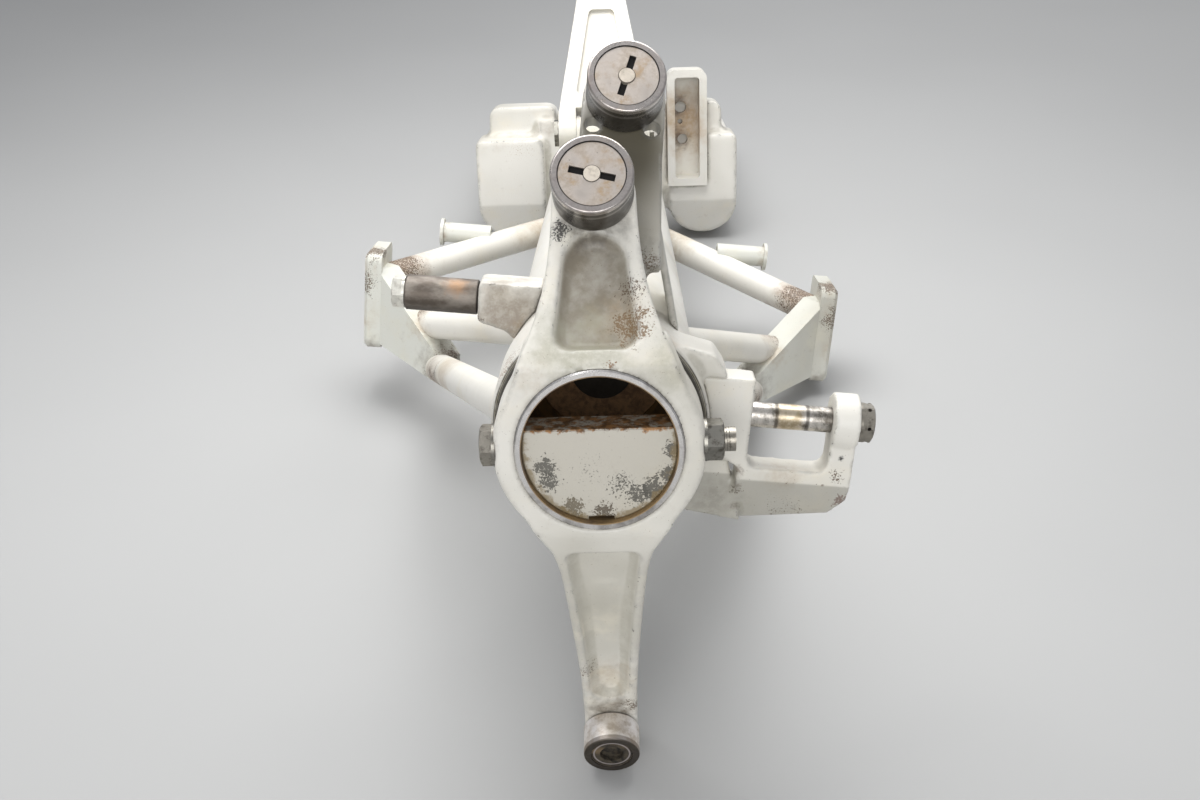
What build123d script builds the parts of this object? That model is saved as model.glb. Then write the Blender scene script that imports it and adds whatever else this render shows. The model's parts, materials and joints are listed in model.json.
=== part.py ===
"""Nose gear strut assembly, lying on its lower steering roller and its fork.

Lengths are in millimetres and angles in degrees. Every piece is placed by its depth along the strut,
measured from the barrel's top end towards the fork, and by x (right) and y (up) across the strut.
The steered pieces use the frame named steer. The trunnion and its tubes use the frame named fixed,
which is turned about the strut as the trunnion lies. The row's origin is the middle of the trunnion axis.
"""

import os
from math import acos, atan2, cos, degrees, radians, sin, tan

from build123d import *

os.makedirs("parts", exist_ok=True)

# Clearances
running = 0.05
gap = 0.3
seat = 0.05
touch = 0.02

# Barrel, piston and their bearings
barrel_diameter = 65.0
barrel_wall = 2.7
barrel_end = 522.0
piston_diameter = 50.8
piston_wall = 4.4
piston_top = 190.0
piston_head_length = 34.0
gland_length = 14.0
gland_diameter = 74.0
gland_bearing_length = 55.0
wiper_depth = 4.5
bulkhead_depth = 105.0
bulkhead_thickness = 10.0
standpipe_diameter = 20.0
standpipe_length = 250.0

# Trunnion housing round the barrel
housing_diameter = 84.0
housing_wall = 5.4
housing_start = 70.0
housing_end = 495.0
collar_diameter = 88.0
collar_start = 30.0
washer_diameter = 81.0
washer_thickness = 2.7
bush_length = 40.0

# Steering arm forging
hub_radius = 41.0
hub_front = 0.8
hub_length = 26.2
hub_edge = 1.6
bolt_depth = 10.5
bolt_diameter = 9.5
bolt_flat = 39.8
arm_thickness = 11.0
pocket_depth = 5.0
pocket_fillet = 2.0
arm_edge = 1.6
arm_proud = 0.06

hub_flare = (36.5, 16.0)
upper_arm_start = 33.0
upper_arm_slope = 38.0
steer_roller_height = 90.3
steer_roller_proud = 1.8
steer_roller_tilt = 33.0

lower_arm_start = 35.0
lower_arm_slope = 25.6
badge_pad = (9.0, 62.0, 66.0)
lower_roller_height = 160.0
lower_roller_proud = 1.0
lower_roller_tilt = 22.0
upper_arm_reach = (steer_roller_height - upper_arm_start) / cos(radians(upper_arm_slope))
upper_arm_widths = ((0, 31.0), (8, 28.0), (25, 22.2), (50, 17.8), (upper_arm_reach, 16.6))
upper_pocket = ((7.5, 17.0), (24, 14.4), (upper_arm_reach - 29.7, 12.4))
upper_arm_fall = (steer_roller_height - upper_arm_start) * tan(radians(upper_arm_slope))
steer_roller_depth = hub_front + upper_arm_fall - steer_roller_proud
lower_arm_reach = (lower_roller_height - lower_arm_start) / cos(radians(lower_arm_slope))
lower_arm_widths = (
    (0, 25.0),
    (11, 20.6),
    (41, 16.3),
    (lower_arm_reach - 22.6, 12.3),
    (lower_arm_reach, 12.3),
)
lower_pocket = ((11.5, 14.7), (41, 11.9), (lower_arm_reach - 29.6, 8.2))
lower_arm_fall = (lower_roller_height - lower_arm_start) * tan(radians(lower_arm_slope))
lower_roller_depth = hub_front + lower_arm_fall - lower_roller_proud

# Cam follower rollers
roller_diameter = 31.75
roller_length = 19.0
flange_share = 0.807
race_diameter = 17.2
needle_diameter = 2.5
needle_count = 20
flange_thickness = 2.2
stem_diameter = 11.1
slot_width = 2.8
slot_reach = 9.0
slot_depth = 2.0
lube_diameter = 6.3
small_roller_diameter = 25.4
small_roller_length = 15.0

# Half-moon plug in the barrel's end
plug_front = 3.0
plug_length = 15.0
plug_top = 8.0
notch_width = 10.0
notch_height = 1.8

# Guide arm on the trunnion
guide_height = 122.0
guide_depth = 88.0
guide_tilt = 33.8
guide_thickness = 9.0
guide_knee = 62.0
guide_half_width = 17.2
guide_base_half_width = 19.4
guide_hole = 7.0
guide_wall = 3.2
guide_wall_flare = 15.0
guide_nut_height = 6.5
guide_nut_flats = 17.5
guide_hole_side = 12.0
guide_hole_drop = 12.8
guide_wall_run = 74.0

# Uplock pin on the left
uplock_height = 31.0
uplock_depth = 95.0
uplock_inner = 56.0
uplock_length = 31.8
uplock_diameter = 15.3
uplock_block = 18.0

# Clevis lug on the right
clevis_near = 36.0
clevis_thickness = 14.0
clevis_inner = 61.0
clevis_gap = 33.0
clevis_leg = 10.5
clevis_pin_height = 4.8
clevis_pin_diameter = 10.5
clevis_bolt_diameter = 7.9
clevis_floor = -16.0
clevis_bottom = -43.5
clevis_toe = -37.0
clevis_crease = -21.5
clevis_facet = 11.0
clevis_root_back = 5.5
clevis_eye = 11.5
clevis_top = 21.5
clevis_fillet = 4.5
clevis_bolt_near = 46.5

# Tube truss and side plates
tube_diameter = 19.05
tube_wall = 1.65
trunnion_drop = 55.5
trunnion_depth = 398.0
plate_outer = 155.0
plate_thickness = 11.0
plate_top = 35.5 - trunnion_drop
plate_bottom = -29.0 - trunnion_drop
plate_near = trunnion_depth - 28.0
plate_far = trunnion_depth + 16.0
plate_corner = 6.0
pivot_bore = 12.7
pivot_bush = 19.0
web_thickness = 5.0
web_inner = plate_outer - 58.0
web_turn = 38.7
web_flange = 14.0
web_half = 28.0
tube_end = plate_outer - plate_thickness + 2.0
upper_tube = ((tube_end, 14.6 - trunnion_drop, trunnion_depth - 8.2), (22.0, -13.7, 492.5))
lower_tube = ((tube_end, -17.0 - trunnion_drop, trunnion_depth), (3.0, -25.5, 243.0))
diagonal_tube = ((web_inner + 4.0, -30.5 - trunnion_drop, trunnion_depth - 52.0), (21.7, -4.1, 35.3))
stub_diameter = 14.0
stub_place = (80.0, 115.0, -18.5, 447.0)
stub_flange = 19.0

# Torque links, set by the two pivots and the link length
pivot_height = 52.0
upper_pivot_depth = 509.0
lower_pivot_depth = 630.0
link_length = 130.0
link_half_width = 33.0
link_lug = 20.0
knee_half_width = 17.0
knee_tongue = 9.0
knee_overlap = 0.7
knee_clearance = 1.05
knee_pin = 10.0
link_pin = 12.7
link_end_radius = 11.0
link_base_thickness = 17.0
link_knee_thickness = 14.0
link_pocket = 3.5
knee_notch = 25.0
knee_radius = 11.0

# Fork
crown_near = 612.0
crown_far = 662.0
crown_radius = 38.0
crown_bore_end = 642.0
lobe_inner = 51.0
lobe_outer = 107.5
lobe_bottom = -50.0
lobe_top = 33.0
lobe_corner = 27.0
web_low = -28.0
web_high = 47.0
shoulder_inner = 39.5
shoulder_outer = 96.0
shoulder_top = 58.0
leg_inner = 80.0
axle_height = 12.0
axle_depth = 795.0
axle_bore = 19.1
axle_boss = 23.0
axle_bush_wall = 2.4
lobe_break = -21.0
bracket_inner = 50.5
bracket_outer = 82.5
bracket_bottom = -8.0
bracket_top = 85.0
bracket_near = 614.0
bracket_far = 640.0
bracket_wall = 6.0
bracket_holes = ((62.0, 53.5, 4.6), (61.5, 42.0, 2.0), (63.5, 27.5, 4.2))
fork_bolt_depth = 624.0
fork_bolt_diameter = 8.0

# How the assembly lies: lean of the strut and turn of the trunnion about it
roller_sine = sin(radians(lower_roller_tilt))
roller_cosine = cos(radians(lower_roller_tilt))
roller_low = (
    lower_roller_height + small_roller_length * roller_sine + small_roller_diameter / 2 * roller_cosine
)
roller_low_depth = (
    lower_roller_depth - small_roller_length * roller_cosine + small_roller_diameter / 2 * roller_sine
)
lean = degrees(atan2(roller_low + lobe_bottom, crown_far - roller_low_depth))
turn = 6.2

towards_top = Vector(0, -cos(radians(lean)), sin(radians(lean)))
upwards = Vector(0, sin(radians(lean)), cos(radians(lean)))
sideways = Vector(1, 0, 0)
fixed_side = sideways * cos(radians(turn)) - upwards * sin(radians(turn))
fixed_up = sideways * sin(radians(turn)) + upwards * cos(radians(turn))
top_centre = fixed_up * trunnion_drop + towards_top * trunnion_depth
steer = Plane(origin=top_centre, x_dir=sideways, z_dir=towards_top)
fixed = Plane(origin=top_centre, x_dir=fixed_side, z_dir=towards_top)
along = Axis((0, 0, 0), towards_top)
fixed_across = Axis((0, 0, 0), fixed_side)


def spot(frame, x, y, depth, tilt=(0, 0, 0)):
    """Plane at a place in a frame, its normal towards the strut's top unless tilted."""
    return Plane(frame.location * Location((x, y, -depth), tilt))


def across(frame, depth):
    """Plane across the strut."""
    return spot(frame, 0, 0, depth)


def facing_right(frame, x, y=0, depth=0):
    """Plane facing +x, on which local x is the depth and local y is up."""
    return spot(frame, x, y, depth, (0, 90, 0))


def between(frame, start, end):
    """Plane at start that faces end, and the distance."""
    first = frame.from_local_coords(Vector(start[0], start[1], -start[2]))
    last = frame.from_local_coords(Vector(end[0], end[1], -end[2]))
    return Plane(origin=first, z_dir=last - first), (last - first).length


def mirrored(place, side):
    """A place in a frame, on the right (1) or the left (-1)."""
    return (place[0] * side, place[1], place[2])


def keep(piece, name):
    """Label a finished piece and write it."""
    piece.part.label = name
    export_step(piece.part, f"parts/{name}.step")


def sleeve(plane, outer, inner, length, edge=0.5):
    """Round piece on a plane, hollow where inner isn't zero, with broken outer edges."""
    with BuildPart() as round_piece:
        with BuildSketch(plane):
            Circle(outer / 2)
        extrude(amount=length)
        chamfer(round_piece.edges().filter_by(GeomType.CIRCLE), edge)
        if inner:
            with BuildSketch(plane):
                Circle(inner / 2)
            extrude(amount=length, mode=Mode.SUBTRACT)
    return round_piece


def rod(frame, start, end, diameter):
    """Plain solid bar between two places and a little before them, to cut a cope."""
    plane, length = between(frame, start, end)
    with BuildPart() as bar:
        with BuildSketch(plane.offset(-diameter)):
            Circle(diameter / 2)
        extrude(amount=length + diameter)
    return bar.part


def hex_bolt(plane, flats, head, shank, length, washer=0):
    """Bolt whose head stands on the plane and whose shank runs back from it."""
    with BuildPart() as bolt:
        with BuildSketch(plane):
            RegularPolygon(flats / 2, 6, major_radius=False)
        extrude(amount=head)
        with BuildSketch(plane.offset(head)):
            Circle(flats / 2 * 0.95)
        extrude(amount=-head, taper=-60, mode=Mode.INTERSECT)
        with BuildSketch(plane):
            Circle(shank / 2)
        extrude(amount=-length)
        if washer:
            with BuildSketch(plane):
                Circle(flats / 2 + 0.6)
            extrude(amount=washer)
    return bolt


def hex_nut(plane, flats, height, bore):
    """Nut standing on the plane, with its outer corners rounded off."""
    with BuildPart() as nut:
        with BuildSketch(plane):
            RegularPolygon(flats / 2, 6, major_radius=False)
        extrude(amount=height)
        with BuildSketch(plane.offset(height)):
            Circle(flats / 2 * 0.95)
        extrude(amount=-height, taper=-60, mode=Mode.INTERSECT)
        with BuildSketch(plane):
            Circle(bore / 2)
        extrude(amount=height, mode=Mode.SUBTRACT)
    return nut


def tapered_outline(widths, corner=0.0):
    """Round-ended outline along local +y from (distance, half width) pairs, its first corners rounded."""
    right = [(half, distance) for distance, half in widths]
    left = [(-half, distance) for half, distance in reversed(right)]
    with BuildSketch(mode=Mode.PRIVATE) as outline:
        with BuildLine():
            Spline(*right)
            Line(right[-1], left[0])
            Spline(*left)
            Line(left[-1], right[0])
        make_face()
        if corner:
            fillet(outline.vertices().group_by(Axis.Y)[0], corner)
        with Locations((0, widths[-1][0])):
            Circle(widths[-1][1])
    return outline.sketch


def arm_slab(plane, widths):
    """One arm of the forging, its front face on the plane and its front edges rounded."""
    with BuildPart() as slab:
        with BuildSketch():
            add(tapered_outline(widths))
        extrude(amount=-arm_thickness)
        fillet(slab.faces().sort_by(Axis.Z)[-1].edges(), arm_edge)
    return plane.location * slab.part


def arm_pocket(plane, widths, corner):
    """Cutter for the shallow pocket in an arm's front, with a rounded floor edge."""
    with BuildPart() as cutter:
        with BuildSketch(Plane.XY.offset(-pocket_depth)):
            add(tapered_outline(widths, corner))
        extrude(amount=pocket_depth + 12)
        fillet(cutter.faces().sort_by(Axis.Z)[0].edges(), pocket_fillet)
    return plane.location * cutter.part


# Barrel tube with its cross-bolt holes
barrel_bore = barrel_diameter - 2 * barrel_wall
with BuildPart() as barrel_tube:
    add(sleeve(across(steer, barrel_end), barrel_diameter, barrel_bore, barrel_end, 0.6).part)
    with BuildSketch(facing_right(steer, 0, 0, bolt_depth)):
        Circle(bolt_diameter / 2 + running)
    extrude(amount=barrel_diameter, both=True, mode=Mode.SUBTRACT)
keep(barrel_tube, "barrel_tube")

# Steering arm: hub, two swept-back arms with pockets, and a boss under each roller
hub_back = hub_front + hub_length
upper_arm_plane = spot(steer, 0, upper_arm_start, hub_front, (-upper_arm_slope, 0, 0))
lower_arm_plane = spot(steer, 0, -lower_arm_start, hub_front, (lower_arm_slope, 0, 180))
steer_seat = spot(steer, 0, steer_roller_height, steer_roller_depth, (-steer_roller_tilt, 0, 0))
lower_seat = spot(steer, 0, -lower_roller_height, lower_roller_depth, (lower_roller_tilt, 0, 0))
boss_length = 13.0
arms = (
    (1, upper_arm_plane, upper_arm_start, upper_arm_slope, upper_arm_widths),
    (-1, lower_arm_plane, lower_arm_start, lower_arm_slope, lower_arm_widths),
)
arm_slabs = [arm_slab(plane, widths) for side, plane, start, slope, widths in arms]
upper_cutter = arm_pocket(upper_arm_plane, upper_pocket, 6)
lower_cutter = arm_pocket(lower_arm_plane, lower_pocket, 4)

with BuildPart() as steering_arm:
    with BuildSketch(across(steer, hub_back)):
        Circle(hub_radius)
    extrude(amount=hub_length)
    chamfer(steering_arm.edges().filter_by(GeomType.CIRCLE), hub_edge)
    for side, plane, start, slope, widths in arms:
        flare_x, flare_y = hub_flare
        flare_top = start + widths[1][0] * cos(radians(slope))
        flare_half = widths[1][1] - 0.5
        with BuildSketch(across(steer, hub_back)):
            with BuildLine():
                Polyline(
                    (-flare_x, side * flare_y),
                    (-flare_half, side * flare_top),
                    (flare_half, side * flare_top),
                    (flare_x, side * flare_y),
                    close=True,
                )
            make_face()
        extrude(amount=hub_length)
        with BuildSketch(facing_right(steer, 0)):
            with BuildLine():
                Polyline(
                    (hub_front + arm_proud, side * start),
                    (hub_front - 5, side * start),
                    (hub_front - 5, side * (start + 30)),
                    (hub_front + arm_proud + 30 * tan(radians(slope)), side * (start + 30)),
                    close=True,
                )
            make_face()
        extrude(amount=2 * hub_radius, both=True, mode=Mode.SUBTRACT)
    for slab in arm_slabs:
        add(slab)
    for plane, radius in ((steer_seat, 15.0), (lower_seat, small_roller_diameter / 2 - 0.8)):
        with BuildSketch(plane):
            Circle(radius)
        extrude(amount=-boss_length)
    add(upper_cutter, mode=Mode.SUBTRACT)
    add(lower_cutter, mode=Mode.SUBTRACT)
    with BuildSketch(lower_arm_plane.offset(-pocket_depth)):
        with Locations((0, badge_pad[2])):
            RectangleRounded(badge_pad[0], badge_pad[1], 3)
    extrude(amount=0.9)
    with BuildSketch(across(steer, hub_back)):
        Circle(barrel_diameter / 2 + seat)
    extrude(amount=hub_length + gap, mode=Mode.SUBTRACT)
    for x in (-bolt_flat, bolt_flat):
        with BuildSketch(facing_right(steer, x, 0, bolt_depth)):
            Circle(9.5)
        extrude(amount=x / abs(x) * 8, mode=Mode.SUBTRACT)
    with BuildSketch(facing_right(steer, 0, 0, bolt_depth)):
        Circle(bolt_diameter / 2 + running)
    extrude(amount=2 * hub_radius, both=True, mode=Mode.SUBTRACT)
    for plane in (steer_seat, lower_seat):
        with BuildSketch(plane):
            Circle(stem_diameter / 2 + seat)
        extrude(amount=-2 * boss_length, mode=Mode.SUBTRACT)
keep(steering_arm, "steering_arm")

# Half-moon plug, held by the cross bolt
with BuildPart() as end_plug:
    with BuildSketch(across(steer, plug_front + plug_length)):
        Circle(barrel_bore / 2 - seat)
        with Locations((0, plug_top)):
            Rectangle(barrel_diameter, barrel_diameter, align=(Align.CENTER, Align.MIN), mode=Mode.SUBTRACT)
        with Locations((0, -barrel_bore / 2)):
            Rectangle(notch_width, 2 * notch_height, mode=Mode.SUBTRACT)
    extrude(amount=plug_length)
    chamfer(end_plug.faces().sort_by(along)[-1].edges(), 0.6)
    with BuildSketch(facing_right(steer, 0, 0, bolt_depth)):
        Circle(bolt_diameter / 2 + running)
    extrude(amount=barrel_diameter, both=True, mode=Mode.SUBTRACT)
keep(end_plug, "end_plug")

# Cross bolt, its washers and nut
nut_height = 6.5
bolt_washer = 1.4
cross_bolt = hex_bolt(
    spot(steer, -bolt_flat - bolt_washer, 0, bolt_depth, (0, -90, 0)),
    14.3,
    4.8,
    bolt_diameter,
    2 * bolt_flat + 2 * bolt_washer + nut_height + 4.5,
)
keep(cross_bolt, "cross_bolt")
with BuildPart() as cross_bolt_washers:
    for x in (-bolt_flat - bolt_washer, bolt_flat):
        with BuildSketch(facing_right(steer, x, 0, bolt_depth)):
            Circle(8.4)
            Circle(bolt_diameter / 2 + seat, mode=Mode.SUBTRACT)
        extrude(amount=bolt_washer)
keep(cross_bolt_washers, "cross_bolt_washers")
cross_bolt_nut = hex_nut(
    facing_right(steer, bolt_flat + bolt_washer, 0, bolt_depth), 14.3, nut_height, bolt_diameter + 2 * seat
)
keep(cross_bolt_nut, "cross_bolt_nut")


def cam_follower(plane, prefix, slot_angle, stem_length):
    """Stud, outer ring, needles and lubrication plug of one cam follower, on its seat."""
    flange = flange_share * roller_diameter
    stud_end = roller_length - gap
    needle_start = flange_thickness + 2 * gap
    needle_circle = race_diameter / 2 + needle_diameter / 2 + running
    with BuildPart() as stud:
        with BuildSketch(plane):
            Circle(flange / 2)
        extrude(amount=flange_thickness)
        with BuildSketch(plane):
            Circle(race_diameter / 2)
        extrude(amount=stud_end)
        with BuildSketch(plane.offset(stud_end - flange_thickness)):
            Circle(flange / 2)
        extrude(amount=flange_thickness)
        with BuildSketch(plane):
            Circle(stem_diameter / 2)
        extrude(amount=-stem_length)
        with BuildSketch(Plane(plane.location * Location((0, 0, stud_end), (0, 0, slot_angle)))):
            Rectangle(2 * slot_reach, slot_width)
            Circle(lube_diameter / 2 + seat)
        extrude(amount=-slot_depth, mode=Mode.SUBTRACT)
    keep(stud, f"{prefix}_stud")
    with BuildPart() as ring:
        with BuildSketch(plane.offset(gap)):
            Circle(roller_diameter / 2)
        extrude(amount=roller_length - gap)
        fillet(ring.edges().filter_by(GeomType.CIRCLE), 0.9)
        with BuildSketch(plane):
            Circle(needle_circle + needle_diameter / 2 + running)
        extrude(amount=roller_length, mode=Mode.SUBTRACT)
        for start in (0, roller_length - needle_start):
            with BuildSketch(plane.offset(start)):
                Circle(flange / 2 + 0.15)
            extrude(amount=needle_start, mode=Mode.SUBTRACT)
    keep(ring, f"{prefix}_ring")
    with BuildPart() as needles:
        with BuildSketch(plane.offset(needle_start)):
            with PolarLocations(needle_circle, needle_count):
                Circle(needle_diameter / 2)
        extrude(amount=roller_length - 2 * needle_start - gap)
    keep(needles, f"{prefix}_needles")
    with BuildPart() as plug:
        with BuildSketch(plane.offset(stud_end - slot_depth)):
            Circle(lube_diameter / 2)
        extrude(amount=slot_depth + gap)
    keep(plug, f"{prefix}_lube_plug")


cam_follower(steer_seat, "steer_roller", -14, boss_length)

# Small roller at the end of the lower arm
with BuildPart() as lower_roller_stud:
    with BuildSketch(lower_seat):
        Circle(small_roller_diameter / 2 - 3.2)
    extrude(amount=small_roller_length - 0.8)
    with BuildSketch(lower_seat):
        Circle(stem_diameter / 2)
    extrude(amount=-boss_length)
    with BuildSketch(lower_seat.offset(small_roller_length - 0.8)):
        Circle(5.4)
    extrude(amount=-2.4, mode=Mode.SUBTRACT)
keep(lower_roller_stud, "lower_roller_stud")
with BuildPart() as lower_roller_ring:
    with BuildSketch(lower_seat.offset(gap)):
        Circle(small_roller_diameter / 2)
    extrude(amount=small_roller_length - gap)
    fillet(lower_roller_ring.edges().filter_by(GeomType.CIRCLE), 0.9)
    with BuildSketch(lower_seat):
        Circle(small_roller_diameter / 2 - 3.2 + running)
    extrude(amount=small_roller_length, mode=Mode.SUBTRACT)
keep(lower_roller_ring, "lower_roller_ring")

# Trunnion housing and collar round the barrel, with the steering bushes and thrust washer
housing_bore = housing_diameter - 2 * housing_wall
housing_tube = sleeve(
    across(fixed, housing_end), housing_diameter, housing_bore, housing_end - housing_start, 0.8
)
keep(housing_tube, "housing_tube")
with BuildPart() as upper_collar:
    with BuildSketch(across(fixed, housing_start)):
        Circle(collar_diameter / 2)
    extrude(amount=housing_start - collar_start)
    chamfer(upper_collar.edges().filter_by(GeomType.CIRCLE), 1.2)
    with BuildSketch(across(fixed, collar_start + 26)):
        with BuildLine():
            Polyline(
                (24, clevis_top + seat),
                (50, clevis_top + seat),
                (47.5, 26),
                (43.5, 31),
                (24, 35),
                close=True,
            )
        make_face()
    extrude(amount=22)
    with BuildSketch(across(fixed, housing_start)):
        Circle(housing_bore / 2)
    extrude(amount=housing_start - collar_start, mode=Mode.SUBTRACT)
keep(upper_collar, "upper_collar")
bush_bore = barrel_diameter + 2 * running
upper_bush = sleeve(
    across(fixed, collar_start + bush_length), housing_bore - 2 * seat, bush_bore, bush_length - 0.4, 0.5
)
keep(upper_bush, "upper_steering_bush")
lower_bush = sleeve(
    across(fixed, housing_end), housing_bore - 2 * seat, bush_bore, bush_length, 0.5
)
keep(lower_bush, "lower_steering_bush")
thrust_washer = sleeve(
    across(fixed, collar_start), washer_diameter, barrel_diameter + 2 * gap, washer_thickness, 0.4
)
keep(thrust_washer, "thrust_washer")

# Solid that fills the housing and collar, to cope what is welded on them
with BuildPart() as housing_core:
    with BuildSketch(across(fixed, housing_end + 60)):
        Circle(housing_diameter / 2 + touch)
    extrude(amount=housing_end + 60)
    with BuildSketch(across(fixed, housing_start + touch)):
        Circle(collar_diameter / 2 + touch)
    extrude(amount=housing_start - collar_start + touch)

# Guide arm: a tilted plate with two flared side walls
guide_seat = spot(fixed, 0, guide_height, guide_depth, (-guide_tilt, 0, 0))
guide_slope = tan(radians(guide_tilt))
knee_depth = guide_depth - (guide_height - guide_knee) * guide_slope
plate_run = (guide_height - guide_knee) / cos(radians(guide_tilt))
with BuildPart() as guide_arm:
    with BuildSketch(guide_seat):
        with BuildLine():
            Polyline(
                (guide_half_width, 0),
                (guide_half_width, -plate_run * 0.35),
                (guide_base_half_width, -plate_run),
                (-guide_base_half_width, -plate_run),
                (-guide_half_width, -plate_run * 0.35),
                (-guide_half_width, 0),
                close=True,
            )
        make_face()
        Circle(guide_half_width)
    extrude(amount=-guide_thickness)
    with BuildSketch(across(fixed, knee_depth + guide_thickness * 1.2)):
        with BuildLine():
            Polyline((-14, 30), (14, 30), (14, guide_knee + 0.6), (-14, guide_knee + 0.6), close=True)
        make_face()
    extrude(amount=guide_thickness * 1.2)
    for side in (1, -1):
        wall_plane = spot(fixed, side * 29.0, 36.0, 0, (0, 90, 0))
        lean_in = Plane(wall_plane.location * Location((0, 0, 0), (-side * guide_wall_flare, 0, 0)))
        with BuildSketch(lean_in):
            with BuildLine():
                Polyline(
                    (knee_depth + 9.5, -8),
                    (knee_depth + 9.5, guide_knee - 36),
                    (guide_depth - 14.6, guide_height - 72),
                    (guide_depth + 2, guide_height - 78),
                    (knee_depth + guide_wall_run, -8),
                    close=True,
                )
            make_face()
        extrude(amount=-side * guide_wall)
    add(housing_core.part, mode=Mode.SUBTRACT)
    with BuildSketch(guide_seat):
        with Locations((guide_hole_side, -guide_hole_drop), (-guide_hole_side, -guide_hole_drop)):
            Circle(guide_hole / 2)
        Circle(stem_diameter / 2 + seat)
    extrude(amount=-3 * guide_thickness, mode=Mode.SUBTRACT)
keep(guide_arm, "guide_arm")
cam_follower(guide_seat, "guide_roller", 77, guide_thickness + guide_nut_height + 2)
guide_roller_nut = hex_nut(
    -guide_seat.offset(-guide_thickness), guide_nut_flats, guide_nut_height, stem_diameter + 2 * seat
)
keep(guide_roller_nut, "guide_roller_nut")

# Uplock lug, pin and its sleeve, on the left
with BuildPart() as uplock_lug:
    with BuildSketch(across(fixed, uplock_depth + uplock_block / 2)):
        with BuildLine():
            Polyline(
                (-uplock_inner, uplock_height + 9),
                (-26, uplock_height + 9),
                (-30, 8),
                (-uplock_inner + 12, uplock_height - 12),
                (-uplock_inner, uplock_height - 9),
                close=True,
            )
        make_face()
    extrude(amount=uplock_block)
    chamfer(uplock_lug.edges().filter_by(along).sort_by(fixed_across)[0:2], 1.2)
    add(housing_core.part, mode=Mode.SUBTRACT)
    add(guide_arm.part, mode=Mode.SUBTRACT)
    with BuildSketch(facing_right(fixed, -uplock_inner, uplock_height, uplock_depth)):
        Circle(bolt_diameter / 2 + seat)
    extrude(amount=18, mode=Mode.SUBTRACT)
keep(uplock_lug, "uplock_lug")
uplock_end = uplock_inner + uplock_length + 2 * gap
uplock_bolt = hex_bolt(
    spot(fixed, -uplock_end, uplock_height, uplock_depth, (0, -90, 0)),
    12.7,
    5.5,
    bolt_diameter,
    uplock_length + 2 * gap + 17,
    1.2,
)
keep(uplock_bolt, "uplock_bolt")
uplock_sleeve = sleeve(
    facing_right(fixed, -uplock_end + gap, uplock_height, uplock_depth),
    uplock_diameter,
    bolt_diameter + 2 * running,
    uplock_length,
    0.6,
)
keep(uplock_sleeve, "uplock_sleeve")

# Clevis lug on the right, its bolt and three spacer sleeves
clevis_outer = clevis_inner + clevis_gap + clevis_leg
clevis_pin_depth = clevis_near + clevis_thickness / 2
with BuildPart() as clevis_lug:
    with BuildSketch(across(fixed, clevis_near + clevis_thickness)):
        with BuildLine():
            Polyline(
                (57, clevis_floor),
                (clevis_inner - 2, clevis_bottom),
                (clevis_outer - 6, clevis_toe),
                (clevis_outer, clevis_toe + 8),
                (clevis_outer, clevis_pin_height),
                (clevis_outer - clevis_leg, clevis_pin_height),
                (clevis_outer - clevis_leg, clevis_floor),
                (clevis_inner, clevis_floor),
                (clevis_inner, clevis_top),
                (38, clevis_top),
                (34, 2),
                (44, -10),
                close=True,
            )
        make_face()
    extrude(amount=clevis_thickness)
    with BuildSketch(facing_right(fixed, 0)):
        with BuildLine():
            Polyline(
                (clevis_near - 1, clevis_crease),
                (clevis_near, clevis_crease),
                (clevis_near + clevis_facet, clevis_bottom),
                (clevis_near + clevis_facet, clevis_bottom - 3),
                (clevis_near - 1, clevis_bottom - 3),
                close=True,
            )
        make_face()
    extrude(amount=clevis_outer + 10, mode=Mode.SUBTRACT)
    with BuildSketch(across(fixed, clevis_near + clevis_thickness)):
        with BuildLine():
            Polyline(
                (30, clevis_floor),
                (38, clevis_bottom + 4),
                (clevis_inner + 1, clevis_bottom + 1),
                (54, clevis_floor),
                (49, clevis_top - 4),
                (34, clevis_top - 4),
                close=True,
            )
        make_face()
    extrude(amount=clevis_thickness - clevis_root_back)
    for x in (clevis_inner, clevis_inner + clevis_gap):
        corner = across(fixed, clevis_near).from_local_coords((x, clevis_floor))
        fillet(clevis_lug.edges().filter_by(along).sort_by_distance(corner)[0], clevis_fillet)
    with BuildSketch(facing_right(fixed, clevis_outer, clevis_pin_height, clevis_pin_depth)):
        Circle(clevis_eye)
    extrude(amount=-clevis_leg)
    add(housing_core.part, mode=Mode.SUBTRACT)
    with BuildSketch(facing_right(fixed, clevis_bolt_near, clevis_pin_height, clevis_pin_depth)):
        Circle(clevis_bolt_diameter / 2 + seat)
    extrude(amount=clevis_outer, mode=Mode.SUBTRACT)
keep(clevis_lug, "clevis_lug")
clevis_head = facing_right(fixed, clevis_outer, clevis_pin_height, clevis_pin_depth)
wire_hole = facing_right(fixed, clevis_outer + 4, clevis_pin_height, clevis_pin_depth)
with BuildPart() as clevis_bolt:
    add(hex_bolt(clevis_head, 14.3, 6.5, clevis_bolt_diameter, clevis_outer - clevis_bolt_near, 1.6).part)
    for angle in (30, 90, 150):
        with BuildSketch(Plane(wire_hole.location * Location((0, 0, 0), (90, angle, 0)))):
            Circle(0.8)
        extrude(amount=10, both=True, mode=Mode.SUBTRACT)
keep(clevis_bolt, "clevis_bolt")
with BuildPart() as clevis_spacers:
    spacer_start = clevis_inner + seat
    for share in (0.31, 0.38, 0.31):
        spacer = (clevis_gap - 2 * seat) * share
        with BuildSketch(facing_right(fixed, spacer_start, clevis_pin_height, clevis_pin_depth)):
            Circle(clevis_pin_diameter / 2)
            Circle(clevis_bolt_diameter / 2 + seat, mode=Mode.SUBTRACT)
        extrude(amount=spacer - seat)
        spacer_start += spacer
keep(clevis_spacers, "clevis_spacers")


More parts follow.
